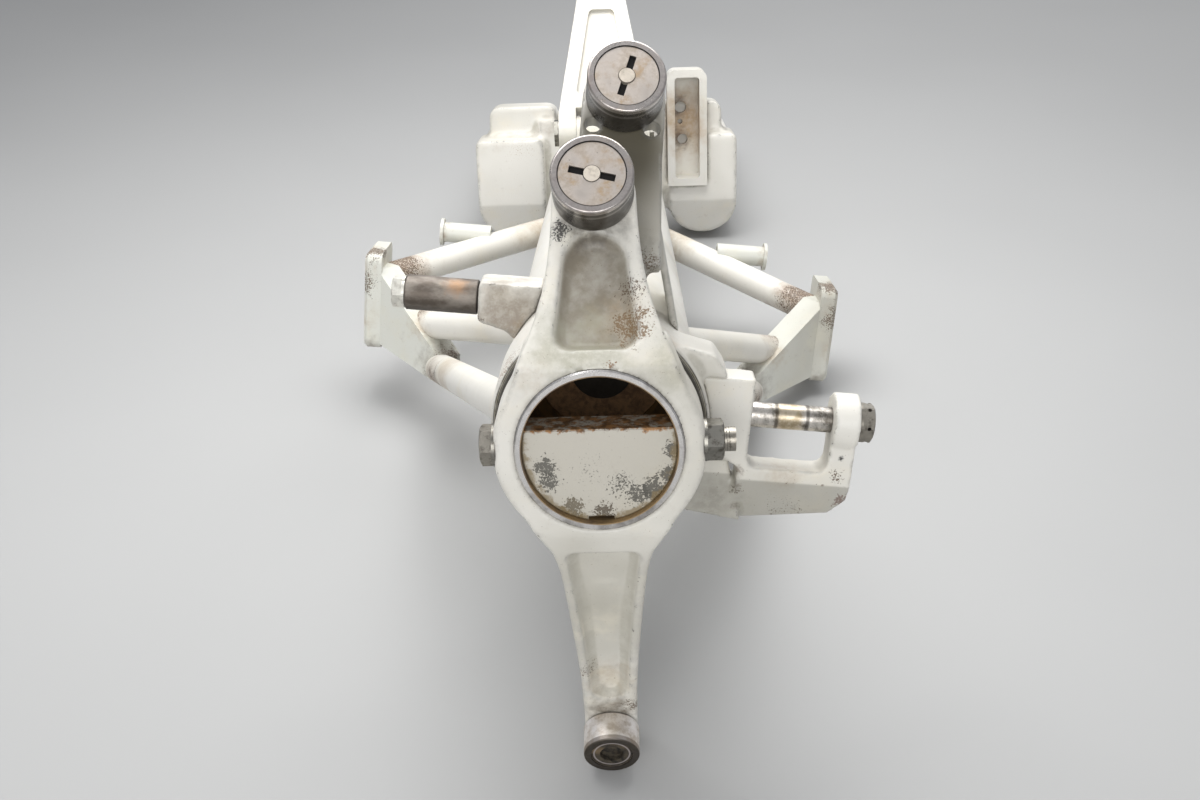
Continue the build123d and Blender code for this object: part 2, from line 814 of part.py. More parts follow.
def truss_tube(ends, side, name, cuts):
    """Hollow tube of the truss, coped where it meets other pieces."""
    plane, length = between(fixed, mirrored(ends[0], side), mirrored(ends[1], side))
    with BuildPart() as tube:
        with BuildSketch(plane.offset(-tube_diameter)):
            Circle(tube_diameter / 2)
            Circle(tube_diameter / 2 - tube_wall, mode=Mode.SUBTRACT)
        extrude(amount=length + tube_diameter)
        add(housing_core.part, mode=Mode.SUBTRACT)
        for cut in cuts:
            add(cut, mode=Mode.SUBTRACT)
    keep(tube, name)


# Side plates, gussets and tubes of the truss, on both sides
plate_inner = plate_outer - plate_thickness
plate_middle = (plate_top + plate_bottom) / 2
plate_height = plate_top - plate_bottom
web_run = (plate_inner - web_inner) / cos(radians(web_turn))
for side, hand in ((-1, "left"), (1, "right")):
    with BuildPart() as side_plate:
        with BuildSketch(facing_right(fixed, side * (plate_outer - plate_thickness / 2))):
            with Locations(((plate_near + plate_far) / 2, plate_middle)):
                RectangleRounded(plate_far - plate_near, plate_height, plate_corner)
        extrude(amount=plate_thickness / 2, both=True)
        chamfer(side_plate.faces().sort_by(fixed_across)[-1 if side > 0 else 0].edges(), 2)
        with BuildSketch(facing_right(fixed, side * plate_outer)):
            with Locations((trunnion_depth, -trunnion_drop)):
                Circle(pivot_bush / 2)
        extrude(amount=-side * plate_thickness, mode=Mode.SUBTRACT)
    keep(side_plate, f"{hand}_side_plate")

    upper_ends = [mirrored(end, side) for end in upper_tube]
    lower_ends = [mirrored(end, side) for end in lower_tube]
    upper_rod = rod(fixed, *upper_ends, tube_diameter + 2 * touch)
    lower_rod = rod(fixed, *lower_ends, tube_diameter + 2 * touch)
    with BuildPart() as beyond_plate:
        with BuildSketch(facing_right(fixed, side * plate_inner)):
            with Locations((trunnion_depth, -trunnion_drop)):
                Rectangle(4 * plate_height, 4 * plate_height)
        extrude(amount=side * 3 * plate_thickness)

    corner = spot(fixed, side * plate_inner, -trunnion_drop, plate_near + 6)
    web_plane = Plane(corner.location * Location((0, 0, 0), (0, side * web_turn, 0)))
    with BuildPart() as gusset:
        with BuildSketch(web_plane):
            with BuildLine():
                Polyline(
                    (side * 8, web_half - 3),
                    (side * 8, -web_half + 4),
                    (0, -web_half + 4),
                    (-side * (web_run - 6), -web_half - 9),
                    (-side * web_run, -web_half - 3),
                    (-side * web_run, -web_half + 7),
                    (0, web_half - 3),
                    close=True,
                )
            make_face()
        extrude(amount=web_thickness)
        with BuildSketch(web_plane):
            with BuildLine():
                Polyline(
                    (side * 14, web_half - 3),
                    (side * 14, web_half - 8),
                    (0, web_half - 8),
                    (-side * web_run, -web_half + 2),
                    (-side * web_run, -web_half + 7),
                    (0, web_half - 3),
                    close=True,
                )
            make_face()
        extrude(amount=-web_flange)
        add(beyond_plate.part, mode=Mode.SUBTRACT)
        add(upper_rod, mode=Mode.SUBTRACT)
        add(lower_rod, mode=Mode.SUBTRACT)
    keep(gusset, f"{hand}_gusset")

    with BuildPart() as behind_web:
        with BuildSketch(web_plane.offset(web_thickness)):
            Rectangle(8 * plate_height, 8 * plate_height)
        extrude(amount=-2 * plate_height)
    truss_tube(upper_tube, side, f"{hand}_upper_tube", [beyond_plate.part])
    truss_tube(lower_tube, side, f"{hand}_lower_tube", [beyond_plate.part])
    truss_tube(diagonal_tube, side, f"{hand}_diagonal_tube", [behind_web.part])

with BuildPart() as pivot_bushes:
    for side in (-1, 1):
        with BuildSketch(facing_right(fixed, side * plate_outer)):
            with Locations((trunnion_depth, -trunnion_drop)):
                Circle(pivot_bush / 2 - seat)
                Circle(pivot_bore / 2, mode=Mode.SUBTRACT)
        extrude(amount=-side * plate_thickness)
keep(pivot_bushes, "pivot_bushes")

stub_inner, stub_outer, stub_height, stub_depth = stub_place
with BuildPart() as rear_stubs:
    for side in (-1, 1):
        with BuildSketch(facing_right(fixed, side * stub_inner, stub_height, stub_depth)):
            Circle(stub_diameter / 2)
            Circle(stub_diameter / 2 - tube_wall, mode=Mode.SUBTRACT)
        extrude(amount=side * (stub_outer - stub_inner))
        with BuildSketch(facing_right(fixed, side * stub_outer, stub_height, stub_depth)):
            Circle(stub_flange / 2)
            Circle(stub_diameter / 2 - tube_wall, mode=Mode.SUBTRACT)
        extrude(amount=-side * 2.2)
        upper_ends = [mirrored(end, side) for end in upper_tube]
        add(rod(fixed, *upper_ends, tube_diameter + 2 * touch), mode=Mode.SUBTRACT)
keep(rear_stubs, "rear_stubs")

# Gland, bearings and standpipe inside the barrel
inside = barrel_bore - 2 * seat
piston_bore = piston_diameter - 2 * piston_wall
with BuildPart() as gland_nut:
    with BuildSketch(across(steer, barrel_end + gland_length)):
        Circle(gland_diameter / 2)
    extrude(amount=gland_length)
    chamfer(gland_nut.edges().filter_by(GeomType.CIRCLE), 1)
    with BuildSketch(across(steer, barrel_end)):
        Circle(inside / 2)
    extrude(amount=10)
    with BuildSketch(across(steer, barrel_end + gland_length)):
        Circle(piston_diameter / 2 + gap)
    extrude(amount=gland_length + 10, mode=Mode.SUBTRACT)
    with BuildSketch(across(steer, barrel_end + gland_length)):
        Circle(piston_diameter / 2 + 4)
    extrude(amount=wiper_depth, mode=Mode.SUBTRACT)
    with BuildSketch(across(steer, barrel_end + gland_length)):
        with PolarLocations(gland_diameter / 2, 6):
            Rectangle(6, 7)
    extrude(amount=gland_length, mode=Mode.SUBTRACT)
keep(gland_nut, "gland_nut")
wiper_ring = sleeve(
    across(steer, barrel_end + gland_length), piston_diameter + 7.9, piston_diameter + 2 * running,
    wiper_depth - 0.1, 0.4,
)
keep(wiper_ring, "wiper_ring")
gland_bearing = sleeve(
    across(steer, barrel_end - 10), inside, piston_diameter + 2 * running, gland_bearing_length, 0.5
)
keep(gland_bearing, "gland_bearing")
bulkhead = sleeve(
    across(steer, bulkhead_depth + bulkhead_thickness), inside, standpipe_diameter + 2 * seat,
    bulkhead_thickness, 0.5,
)
keep(bulkhead, "barrel_bulkhead")
with BuildPart() as standpipe:
    with BuildSketch(across(steer, bulkhead_depth + standpipe_length)):
        Circle(standpipe_diameter / 2)
    extrude(amount=standpipe_length)
    with BuildSketch(across(steer, bulkhead_depth + standpipe_length)):
        Circle(standpipe_diameter / 2 - 2)
    extrude(amount=standpipe_length - 2, mode=Mode.SUBTRACT)
    with BuildSketch(across(steer, bulkhead_depth)):
        Circle(standpipe_diameter / 2 + 4)
    extrude(amount=3)
keep(standpipe, "standpipe")

# Piston, its head and seal
with BuildPart() as piston_tube:
    with BuildSketch(across(steer, crown_bore_end)):
        Circle(piston_diameter / 2)
        Circle(piston_bore / 2, mode=Mode.SUBTRACT)
    extrude(amount=crown_bore_end - piston_top)
    with BuildSketch(spot(steer, 0, 0, fork_bolt_depth, (90, 0, 0))):
        Circle(fork_bolt_diameter / 2 + seat)
    extrude(amount=piston_diameter, both=True, mode=Mode.SUBTRACT)
keep(piston_tube, "piston_tube")
head_depth = piston_top + piston_head_length
seal_width = 5.0
with BuildPart() as piston_head:
    with BuildSketch(across(steer, head_depth)):
        Circle(barrel_bore / 2 - running)
        Circle(piston_diameter / 2 + seat, mode=Mode.SUBTRACT)
    extrude(amount=piston_head_length)
    with BuildSketch(across(steer, head_depth - piston_head_length / 2)):
        Circle(barrel_diameter / 2)
        Circle(barrel_bore / 2 - 3, mode=Mode.SUBTRACT)
    extrude(amount=seal_width, mode=Mode.SUBTRACT)
keep(piston_head, "piston_head")
with BuildPart() as piston_seal:
    with BuildSketch(across(steer, head_depth - piston_head_length / 2 - 0.1)):
        Circle(barrel_bore / 2 - running)
        Circle(barrel_bore / 2 - 2.95, mode=Mode.SUBTRACT)
    extrude(amount=seal_width - 0.2)
keep(piston_seal, "piston_seal")

# Fork: crown, web, two lobes that run back into the legs, shoulders and the lower link's lug
lobe_middle = (lobe_inner + lobe_outer) / 2
lobe_near = crown_near + 6
shoulder_middle = (shoulder_inner + shoulder_outer) / 2
leg_width = lobe_outer - leg_inner - 3
fork_bolt_plane = spot(steer, 0, -crown_radius + 2, fork_bolt_depth, (90, 0, 0))


def link_lug_profile(near, far, depth):
    """Side view of a lug that carries a torque link's pivot."""
    with BuildSketch(mode=Mode.PRIVATE) as profile:
        with BuildLine():
            Polyline(
                (near, 20),
                (far, 20),
                (far, 38),
                (depth + link_end_radius, pivot_height),
                (depth - link_end_radius, pivot_height),
                (near, 38),
                close=True,
            )
        make_face()
        with Locations((depth, pivot_height)):
            Circle(link_end_radius)
    return profile.sketch


with BuildPart() as fork:
    with BuildSketch(across(steer, crown_far)):
        Circle(crown_radius)
    extrude(amount=crown_far - crown_near)
    chamfer(fork.edges().filter_by(GeomType.CIRCLE).sort_by(along)[-1], 3)
    with BuildSketch(across(steer, crown_far)):
        with Locations((0, web_low)):
            Rectangle(2 * lobe_inner + 8, web_high - web_low, align=(Align.CENTER, Align.MIN))
    extrude(amount=crown_far - crown_near - 14)
    for side in (1, -1):
        with BuildSketch(across(steer, crown_far)):
            with Locations((side * lobe_middle, lobe_bottom)):
                Rectangle(lobe_outer - lobe_inner, lobe_top - lobe_bottom, align=(Align.CENTER, Align.MIN))
            fillet(vertices().group_by(Axis.Y)[0], lobe_corner)
            fillet(vertices().group_by(Axis.Y)[-1], 5)
        extrude(amount=crown_far - lobe_near)
        with BuildSketch(across(steer, crown_far)):
            with Locations((side * shoulder_middle, shoulder_top / 2)):
                RectangleRounded(shoulder_outer - shoulder_inner, shoulder_top, 9)
        extrude(amount=crown_far - crown_near - 20)
        with BuildSketch(facing_right(steer, side * leg_inner)):
            with BuildLine():
                Polyline(
                    (crown_far - 12, lobe_bottom + 17),
                    (crown_far - 12, lobe_top - 3),
                    (axle_depth, axle_height + axle_boss * 0.92),
                    (axle_depth, axle_height - axle_boss * 0.92),
                    (crown_far, lobe_bottom + 15),
                    close=True,
                )
            make_face()
            with Locations((axle_depth, axle_height)):
                Circle(axle_boss)
        extrude(amount=side * leg_width)
    with BuildSketch(facing_right(steer, 0)):
        with BuildLine():
            Polyline(
                (lobe_near, lobe_break),
                (lobe_near - 5, lobe_break),
                (lobe_near - 5, lobe_bottom - 5),
                (lobe_near + 12, lobe_bottom - 5),
                close=True,
            )
        make_face()
    extrude(amount=2 * lobe_outer, both=True, mode=Mode.SUBTRACT)
    with BuildSketch(facing_right(steer, 0, pivot_height, lower_pivot_depth)):
        Circle(link_end_radius + 1.5)
    extrude(amount=link_half_width + 8, both=True, mode=Mode.SUBTRACT)
    with BuildSketch(facing_right(steer, 0)):
        add(link_lug_profile(lower_pivot_depth - 15, lower_pivot_depth + 15, lower_pivot_depth))
    extrude(amount=link_lug, both=True)
    with BuildSketch(across(steer, bracket_far + touch)):
        with Locations((bracket_inner - touch, bracket_bottom - touch)):
            Rectangle(
                bracket_outer - bracket_inner + 2 * touch,
                2 * bracket_top,
                align=(Align.MIN, Align.MIN),
            )
    extrude(amount=bracket_far - bracket_near + 10, mode=Mode.SUBTRACT)
    with BuildSketch(across(steer, crown_bore_end)):
        Circle(piston_diameter / 2 + seat)
    extrude(amount=crown_bore_end - crown_near + 4, mode=Mode.SUBTRACT)
    with BuildSketch(facing_right(steer, 0, pivot_height, lower_pivot_depth)):
        Circle(link_pin / 2 + seat)
    extrude(amount=2 * link_lug, both=True, mode=Mode.SUBTRACT)
    with BuildSketch(facing_right(steer, 0, axle_height, axle_depth)):
        Circle(axle_bore / 2 + axle_bush_wall + seat)
    extrude(amount=2 * lobe_outer, both=True, mode=Mode.SUBTRACT)
    with BuildSketch(fork_bolt_plane):
        Circle(9)
    extrude(amount=crown_radius, mode=Mode.SUBTRACT)
    with BuildSketch(fork_bolt_plane):
        Circle(fork_bolt_diameter / 2 + seat)
    extrude(amount=-2 * crown_radius + 8, mode=Mode.SUBTRACT)
keep(fork, "fork")
fork_bolt = hex_bolt(fork_bolt_plane, 12.7, 5.0, fork_bolt_diameter, 2 * crown_radius - 10)
keep(fork_bolt, "fork_bolt")

with BuildPart() as axle_bushes:
    for side in (-1, 1):
        with BuildSketch(facing_right(steer, side * leg_inner, axle_height, axle_depth)):
            Circle(axle_bore / 2 + axle_bush_wall)
            Circle(axle_bore / 2, mode=Mode.SUBTRACT)
        extrude(amount=side * leg_width)
keep(axle_bushes, "axle_bushes")

# Channel bracket let into the fork's right lobe, open towards the strut's top
with BuildPart() as fork_bracket:
    with BuildSketch(across(steer, bracket_far)):
        with Locations((bracket_inner, bracket_bottom)):
            Rectangle(
                bracket_outer - bracket_inner, bracket_top - bracket_bottom, align=(Align.MIN, Align.MIN)
            )
        fillet(vertices().group_by(Axis.Y)[-1], 7)
    extrude(amount=bracket_far - bracket_near)
    with BuildSketch(across(steer, bracket_far - bracket_wall)):
        with Locations((bracket_inner + bracket_wall, bracket_bottom + bracket_wall)):
            Rectangle(
                bracket_outer - bracket_inner - 2 * bracket_wall,
                bracket_top - bracket_bottom - 2 * bracket_wall,
                align=(Align.MIN, Align.MIN),
            )
        fillet(vertices(), 3)
    extrude(amount=bracket_far - bracket_near, mode=Mode.SUBTRACT)
    for x, y, radius in bracket_holes:
        with BuildSketch(across(steer, bracket_far)):
            with Locations((x, y)):
                Circle(radius)
        extrude(amount=bracket_wall, mode=Mode.SUBTRACT)
keep(fork_bracket, "fork_bracket")

# Torque collar on the barrel, with the lug for the upper link
collar_length = 2 * 13.0
with BuildPart() as torque_collar:
    with BuildSketch(across(steer, barrel_end)):
        Circle(barrel_diameter / 2 + 9)
    extrude(amount=collar_length)
    chamfer(torque_collar.edges().filter_by(GeomType.CIRCLE), 1)
    with BuildSketch(facing_right(steer, 0)):
        add(link_lug_profile(barrel_end - collar_length, barrel_end, upper_pivot_depth))
    extrude(amount=link_lug, both=True)
    with BuildSketch(across(steer, barrel_end)):
        Circle(barrel_diameter / 2 + seat)
    extrude(amount=collar_length, mode=Mode.SUBTRACT)
    with BuildSketch(facing_right(steer, 0, pivot_height, upper_pivot_depth)):
        Circle(link_pin / 2 + seat)
    extrude(amount=2 * link_lug, both=True, mode=Mode.SUBTRACT)
keep(torque_collar, "torque_collar")

# Torque links: each tapers from two ears on its pivot pin to the knee
link_angle = degrees(acos((lower_pivot_depth - upper_pivot_depth + knee_overlap) / (2 * link_length)))
ear_inner = link_lug + gap


def torque_link(depth, angle, forked):
    """Link from its pivot at a depth towards the knee; forked ends in two ears, else in a tongue."""
    facing = facing_right(steer, 0, pivot_height, depth).location
    side_view = Plane(facing * Location((0, 0, 0), (0, 0, angle)))
    plan_view = Plane(side_view.location * Location((0, 0, 0), (90, 0, 0)))
    base = link_base_thickness / 2
    knee = link_knee_thickness / 2
    with BuildPart() as link:
        with BuildSketch(side_view):
            with BuildLine():
                Polyline((0, base), (link_length, knee), (link_length, -knee), (0, -base), close=True)
            make_face()
            Circle(link_end_radius)
            with Locations((link_length, 0)):
                Circle(knee_radius)
        extrude(amount=link_half_width, both=True)
        with BuildSketch(plan_view):
            with BuildLine():
                Polyline(
                    (-link_end_radius - 1, link_half_width),
                    (link_end_radius, link_half_width),
                    (link_length - knee_notch, knee_half_width),
                    (link_length + knee_radius + 1, knee_half_width),
                    (link_length + knee_radius + 1, -knee_half_width),
                    (link_length - knee_notch, -knee_half_width),
                    (link_end_radius, -link_half_width),
                    (-link_end_radius - 1, -link_half_width),
                    close=True,
                )
            make_face()
        extrude(amount=2 * link_base_thickness, both=True, mode=Mode.INTERSECT)
        with BuildSketch(plan_view):
            Rectangle(2 * link_end_radius + 10, 2 * ear_inner)
            if forked:
                with Locations((link_length - knee_notch, 0)):
                    Rectangle(2 * knee_notch, 2 * (knee_tongue + gap), align=(Align.MIN, Align.CENTER))
            else:
                for x in (knee_half_width, -knee_half_width):
                    with Locations((link_length, x)):
                        Rectangle(2 * knee_notch, 2 * (knee_half_width - knee_tongue))
        extrude(amount=2 * link_base_thickness, both=True, mode=Mode.SUBTRACT)
        for face in (1, -1):
            with BuildSketch(plan_view.offset(face * (knee - link_pocket + 1))):
                with BuildLine():
                    Polyline(
                        (26, 20), (link_length - 38, 9), (link_length - 38, -9), (26, -20), close=True
                    )
                make_face()
                fillet(vertices(), 4)
            extrude(amount=face * link_base_thickness, mode=Mode.SUBTRACT)
        with BuildSketch(side_view):
            Circle(link_pin / 2 + seat)
            with Locations((link_length, 0)):
                Circle(knee_pin / 2 + (seat if forked else knee_clearance))
        extrude(amount=link_half_width, both=True, mode=Mode.SUBTRACT)
    return link


upper_link = torque_link(upper_pivot_depth, link_angle, True)
keep(upper_link, "upper_link")
lower_link = torque_link(lower_pivot_depth, 180 - link_angle, False)
keep(lower_link, "lower_link")

for depth, name in ((upper_pivot_depth, "upper_link_pin"), (lower_pivot_depth, "lower_link_pin")):
    with BuildPart() as pivot_pin:
        with BuildSketch(facing_right(steer, 0, pivot_height, depth)):
            Circle(link_pin / 2)
        extrude(amount=link_half_width + gap + 3, both=True)
        for side in (1, -1):
            with BuildSketch(facing_right(steer, side * (link_half_width + gap), pivot_height, depth)):
                RegularPolygon(9, 6, major_radius=False)
            extrude(amount=side * 3)
    keep(pivot_pin, name)

knee_depth_centre = upper_pivot_depth + link_length * cos(radians(link_angle))
knee_height = pivot_height + link_length * sin(radians(link_angle))
with BuildPart() as knee_bolt:
    with BuildSketch(facing_right(steer, 0, knee_height, knee_depth_centre)):
        Circle(knee_pin / 2)
    extrude(amount=knee_half_width + 6, both=True)
    for side in (1, -1):
        with BuildSketch(facing_right(steer, side * knee_half_width, knee_height, knee_depth_centre)):
            RegularPolygon(8, 6, major_radius=False)
        extrude(amount=side * 5)
keep(knee_bolt, "knee_bolt")
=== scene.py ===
"""Nose gear strut assembly: finishes, forged and welded detail, camera, lights and floor.

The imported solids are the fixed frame. Lengths are in metres and angles in radians. Places on the gear are
given in millimetres by x (right), y (up) and depth along the strut from its top end. steered() takes them for
the steered pieces and on_trunnion() for the trunnion, which is turned about the strut.
"""

import json
from math import cos, pi, radians, sin

import bpy
import numpy as np
from bpy.props import FloatProperty, FloatVectorProperty, IntProperty, PointerProperty
from mathutils import Matrix, Vector

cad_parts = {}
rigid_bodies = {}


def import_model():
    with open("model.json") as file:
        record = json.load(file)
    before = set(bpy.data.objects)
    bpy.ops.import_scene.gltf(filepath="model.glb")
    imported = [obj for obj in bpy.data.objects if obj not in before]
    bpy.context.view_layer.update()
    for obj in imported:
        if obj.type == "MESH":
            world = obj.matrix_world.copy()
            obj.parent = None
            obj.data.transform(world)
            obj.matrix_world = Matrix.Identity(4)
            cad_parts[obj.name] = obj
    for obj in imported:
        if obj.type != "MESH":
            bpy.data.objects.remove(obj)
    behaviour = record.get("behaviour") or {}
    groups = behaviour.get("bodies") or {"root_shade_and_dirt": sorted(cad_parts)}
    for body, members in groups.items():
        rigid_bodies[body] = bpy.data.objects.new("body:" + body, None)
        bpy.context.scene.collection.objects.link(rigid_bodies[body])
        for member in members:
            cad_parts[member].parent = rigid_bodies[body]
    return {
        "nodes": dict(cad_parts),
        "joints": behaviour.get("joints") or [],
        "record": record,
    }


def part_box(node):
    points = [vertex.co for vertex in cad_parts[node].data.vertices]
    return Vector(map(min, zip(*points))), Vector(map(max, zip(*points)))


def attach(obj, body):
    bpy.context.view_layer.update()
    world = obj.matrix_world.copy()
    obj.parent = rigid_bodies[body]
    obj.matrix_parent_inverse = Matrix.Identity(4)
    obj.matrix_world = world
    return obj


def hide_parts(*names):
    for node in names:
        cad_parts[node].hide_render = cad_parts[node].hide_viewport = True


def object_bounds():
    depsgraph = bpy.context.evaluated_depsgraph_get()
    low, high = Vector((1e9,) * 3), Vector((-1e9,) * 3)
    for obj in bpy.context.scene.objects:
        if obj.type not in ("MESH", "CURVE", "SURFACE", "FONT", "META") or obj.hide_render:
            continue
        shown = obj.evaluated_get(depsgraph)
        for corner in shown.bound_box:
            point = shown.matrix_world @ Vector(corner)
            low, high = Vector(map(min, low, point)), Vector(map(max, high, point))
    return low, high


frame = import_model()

bl_info = {
    "name": "Nose Gear Strut",
    "version": (1, 0, 0),
    "blender": (4, 5, 0),
    "location": "View3D > Sidebar > Nose Gear",
    "description": "Finishes a nose gear strut assembly: forgings, weld beads, threads, worn paint and steel",
    "category": "Object",
}

cad_box = [list(corner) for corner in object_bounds()]

# Where the gear lies
joints = {joint["name"]: joint for joint in frame["joints"]}
TO_TOP = Vector(joints["strut_slide"]["axis"]).normalized()
RIGHT = Vector((1, 0, 0))
UP = TO_TOP.cross(RIGHT)
TOP_CENTRE = Vector(joints["steering"]["pos_m"])
TRUNNION_RIGHT = Vector(joints["uplock_roller_spin"]["axis"]).normalized()
TRUNNION_UP = TO_TOP.cross(TRUNNION_RIGHT)
MM = 0.001
HANDS = (("left", -1), ("right", 1))
# Radii that the softened pieces and the added ones keep to
HUB_BORE = 32.6 * MM
AXLE_BORE = 12.0 * MM
GUIDE_HOLE = 3.5 * MM
WELD_LOOP = 9.7 * MM
CROSS_BOLT = 9.5 / 2 * MM
SEAT_REACH = 16 * MM


def steered(x, y, depth):
    """A place on the steered pieces."""
    return TOP_CENTRE + (RIGHT * x + UP * y - TO_TOP * depth) * MM


def on_trunnion(x, y, depth):
    """A place on the trunnion."""
    return TOP_CENTRE + (TRUNNION_RIGHT * x + TRUNNION_UP * y - TO_TOP * depth) * MM


def turned_to(axis, side):
    """Rotation whose z is the axis and whose x is near the side."""
    z = axis.normalized()
    x = (side - z * side.dot(z)).normalized()
    return Matrix((x, z.cross(x), z)).transposed()


def spots(place, *rows):
    """Marks given as rows of x, y, depth, reach, colour and amount, at places on the gear."""
    return tuple((place(*row[:3]), *row[3:]) for row in rows)


def linear(*colour):
    """Linear value of a colour picked as it looks on a screen."""
    return tuple(c / 12.92 if c < 0.04045 else ((c + 0.055) / 1.055) ** 2.4 for c in colour)


def scaled(colour, *shares):
    """A colour with its channels times one share, or times a share each."""
    return tuple(c * k for c, k in zip(colour, shares * 3 if len(shares) == 1 else shares))


COLOUR = {"subtype": "COLOR", "size": 3, "min": 0, "max": 1}


class GearPaint(bpy.types.PropertyGroup):
    """Colours of the enamel and what shows through it"""

    cream: FloatVectorProperty(
        name="Cream enamel", description="Main colour of the forged and welded pieces",
        default=linear(0.87, 0.858, 0.825), **COLOUR,
    )
    # The greyed enamel is also laid in forged pieces' inner corners as painted shade.
    shade: FloatVectorProperty(
        name="Greyed enamel", description="Colour the enamel has taken in pockets and worn places",
        default=linear(0.70, 0.685, 0.635), **COLOUR,
    )
    green_grey: FloatVectorProperty(
        name="Grey-green enamel", description="Colour of the truss's plates and gussets",
        default=linear(0.81, 0.81, 0.775), **COLOUR,
    )
    rust: FloatVectorProperty(
        name="Rust stain", description="Colour of rust and old grease on the paint",
        default=linear(0.46, 0.36, 0.25), **COLOUR,
    )
    bare: FloatVectorProperty(
        name="Chipped metal", description="Colour where the enamel is chipped off",
        default=linear(0.36, 0.35, 0.32), **COLOUR,
    )
    speckle: FloatProperty(
        name="Speckle", description="How many small tan specks the enamel has",
        subtype="FACTOR", min=0, max=1, default=0.7,
    )


class GearForging(bpy.types.PropertyGroup):
    """How soft the forged pieces' edges are"""

    voxel: FloatProperty(
        name="Mesh size", description="Edge length of a forging's mesh",
        subtype="DISTANCE", min=0.0006, max=0.003, default=0.0010,
    )
    edge_rounds: IntProperty(
        name="Edge rounding", description="Number of passes that round a forging's outer edges",
        min=0, max=60, default=5,
    )
    root_rounds: IntProperty(
        name="Root blending", description="Number of passes that blend a forging's inner corners",
        min=0, max=300, default=70,
    )


class GearDetail(bpy.types.PropertyGroup):
    """Sizes of the weld beads and the thread"""

    bead: FloatProperty(
        name="Weld bead", description="Radius of a weld bead's section",
        subtype="DISTANCE", min=0.0005, max=0.004, default=0.0019,
    )
    ripple: FloatProperty(
        name="Weld ripple", description="Height of the ripples along a weld bead",
        subtype="DISTANCE", min=0, max=0.001, default=0.0004,
    )
    pitch: FloatProperty(
        name="Thread pitch", description="Distance between thread crests on the cross bolt",
        subtype="DISTANCE", min=0.0005, max=0.002, default=0.0011,
    )


class GearStage(bpy.types.PropertyGroup):
    """Camera, lights and floor"""

    lens: FloatProperty(
        name="Lens", description="Focal length on a 36 mm wide sensor, in millimetres",
        min=15, max=120, default=39.0,
    )
    floor: FloatVectorProperty(
        name="Floor", description="Colour of the plain floor",
        default=linear(0.68, 0.68, 0.675), **COLOUR,
    )
    key: FloatProperty(
        name="Key light", description="Power of the large light overhead, in watts",
        subtype="POWER", min=0, max=500, default=9.0,
    )
    fill: FloatProperty(
        name="Fill light", description="Power of the light beside the camera, in watts",
        subtype="POWER", min=0, max=500, default=28.0,
    )
    sky: FloatProperty(
        name="Room light", description="Strength of the even light from all round",
        min=0, max=5, default=0.46,
    )


# Modelling helpers

def alone(piece):
    """Select one object and nothing else."""
    if bpy.context.object and bpy.context.object.mode != "OBJECT":
        bpy.ops.object.mode_set(mode="OBJECT")
    bpy.ops.object.select_all(action="DESELECT")
    piece.select_set(True)
    bpy.context.view_layer.objects.active = piece
    return piece


def rename(piece, name):
    piece.name = name
    piece.data.name = name
    return piece


def settle(piece, turn, centre):
    """Turn a piece into its place, and leave its object at the origin."""
    alone(piece)
    piece.matrix_world = Matrix.Translation(centre) @ turn.to_4x4()
    bpy.ops.object.transform_apply(location=True, rotation=True, scale=True)
    return piece


def apply(piece, kind, **settings):
    """Add a modifier with its settings and apply it."""
    alone(piece)
    modifier = piece.modifiers.new(kind.title(), kind)
    for key, value in settings.items():
        setattr(modifier, key, value)
    bpy.ops.object.modifier_apply(modifier=modifier.name)


def edit_all():
    bpy.ops.object.mode_set(mode="EDIT")
    bpy.ops.mesh.select_all(action="SELECT")


def outwards(piece):
    """Merge doubles and point all faces outwards."""
    alone(piece)
    edit_all()
    bpy.ops.mesh.remove_doubles(threshold=1e-6)
    bpy.ops.mesh.normals_make_consistent(inside=False)
    bpy.ops.object.mode_set(mode="OBJECT")


def copy_of(node, name):
    """A merged copy of a solid's mesh, as an object of its own."""
    source = frame["nodes"][node]
    hidden = source.hide_viewport
    source.hide_viewport = False
    alone(source)
    bpy.ops.object.duplicate(linked=False)
    piece = rename(bpy.context.object, name)
    bpy.ops.object.parent_clear(type="CLEAR_KEEP_TRANSFORM")
    for key in [key for key in piece.keys() if key.startswith("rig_")]:
        del piece[key]
    piece.data.materials.clear()
    edit_all()
    bpy.ops.mesh.remove_doubles(threshold=2e-6)
    bpy.ops.object.mode_set(mode="OBJECT")
    source.hide_viewport = hidden
    return piece


def points_of(mesh):
    points = np.empty(len(mesh.vertices) * 3)
    mesh.vertices.foreach_get("co", points)
    return points.reshape(-1, 3)


def relaxed(points, edges, rounds, share=None):
    """Points moved towards their neighbours' middle, by a share of the way each."""
    first, second = edges[:, 0], edges[:, 1]
    count = np.bincount(edges.ravel(), minlength=len(points))[:, None]
    pull = 0.5 if share is None else share[:, None]
    for _ in range(rounds):
        total = np.zeros_like(points)
        for axis in range(points.shape[1]):
            total[:, axis] = np.bincount(first, points[second, axis], len(points))
            total[:, axis] += np.bincount(second, points[first, axis], len(points))
        points = points + pull * (total / count - points)
    return points


def spread(values, edges, rounds):
    """Values of the points, smoothed over their neighbours."""
    return relaxed(values[:, None], edges, rounds)[:, 0]


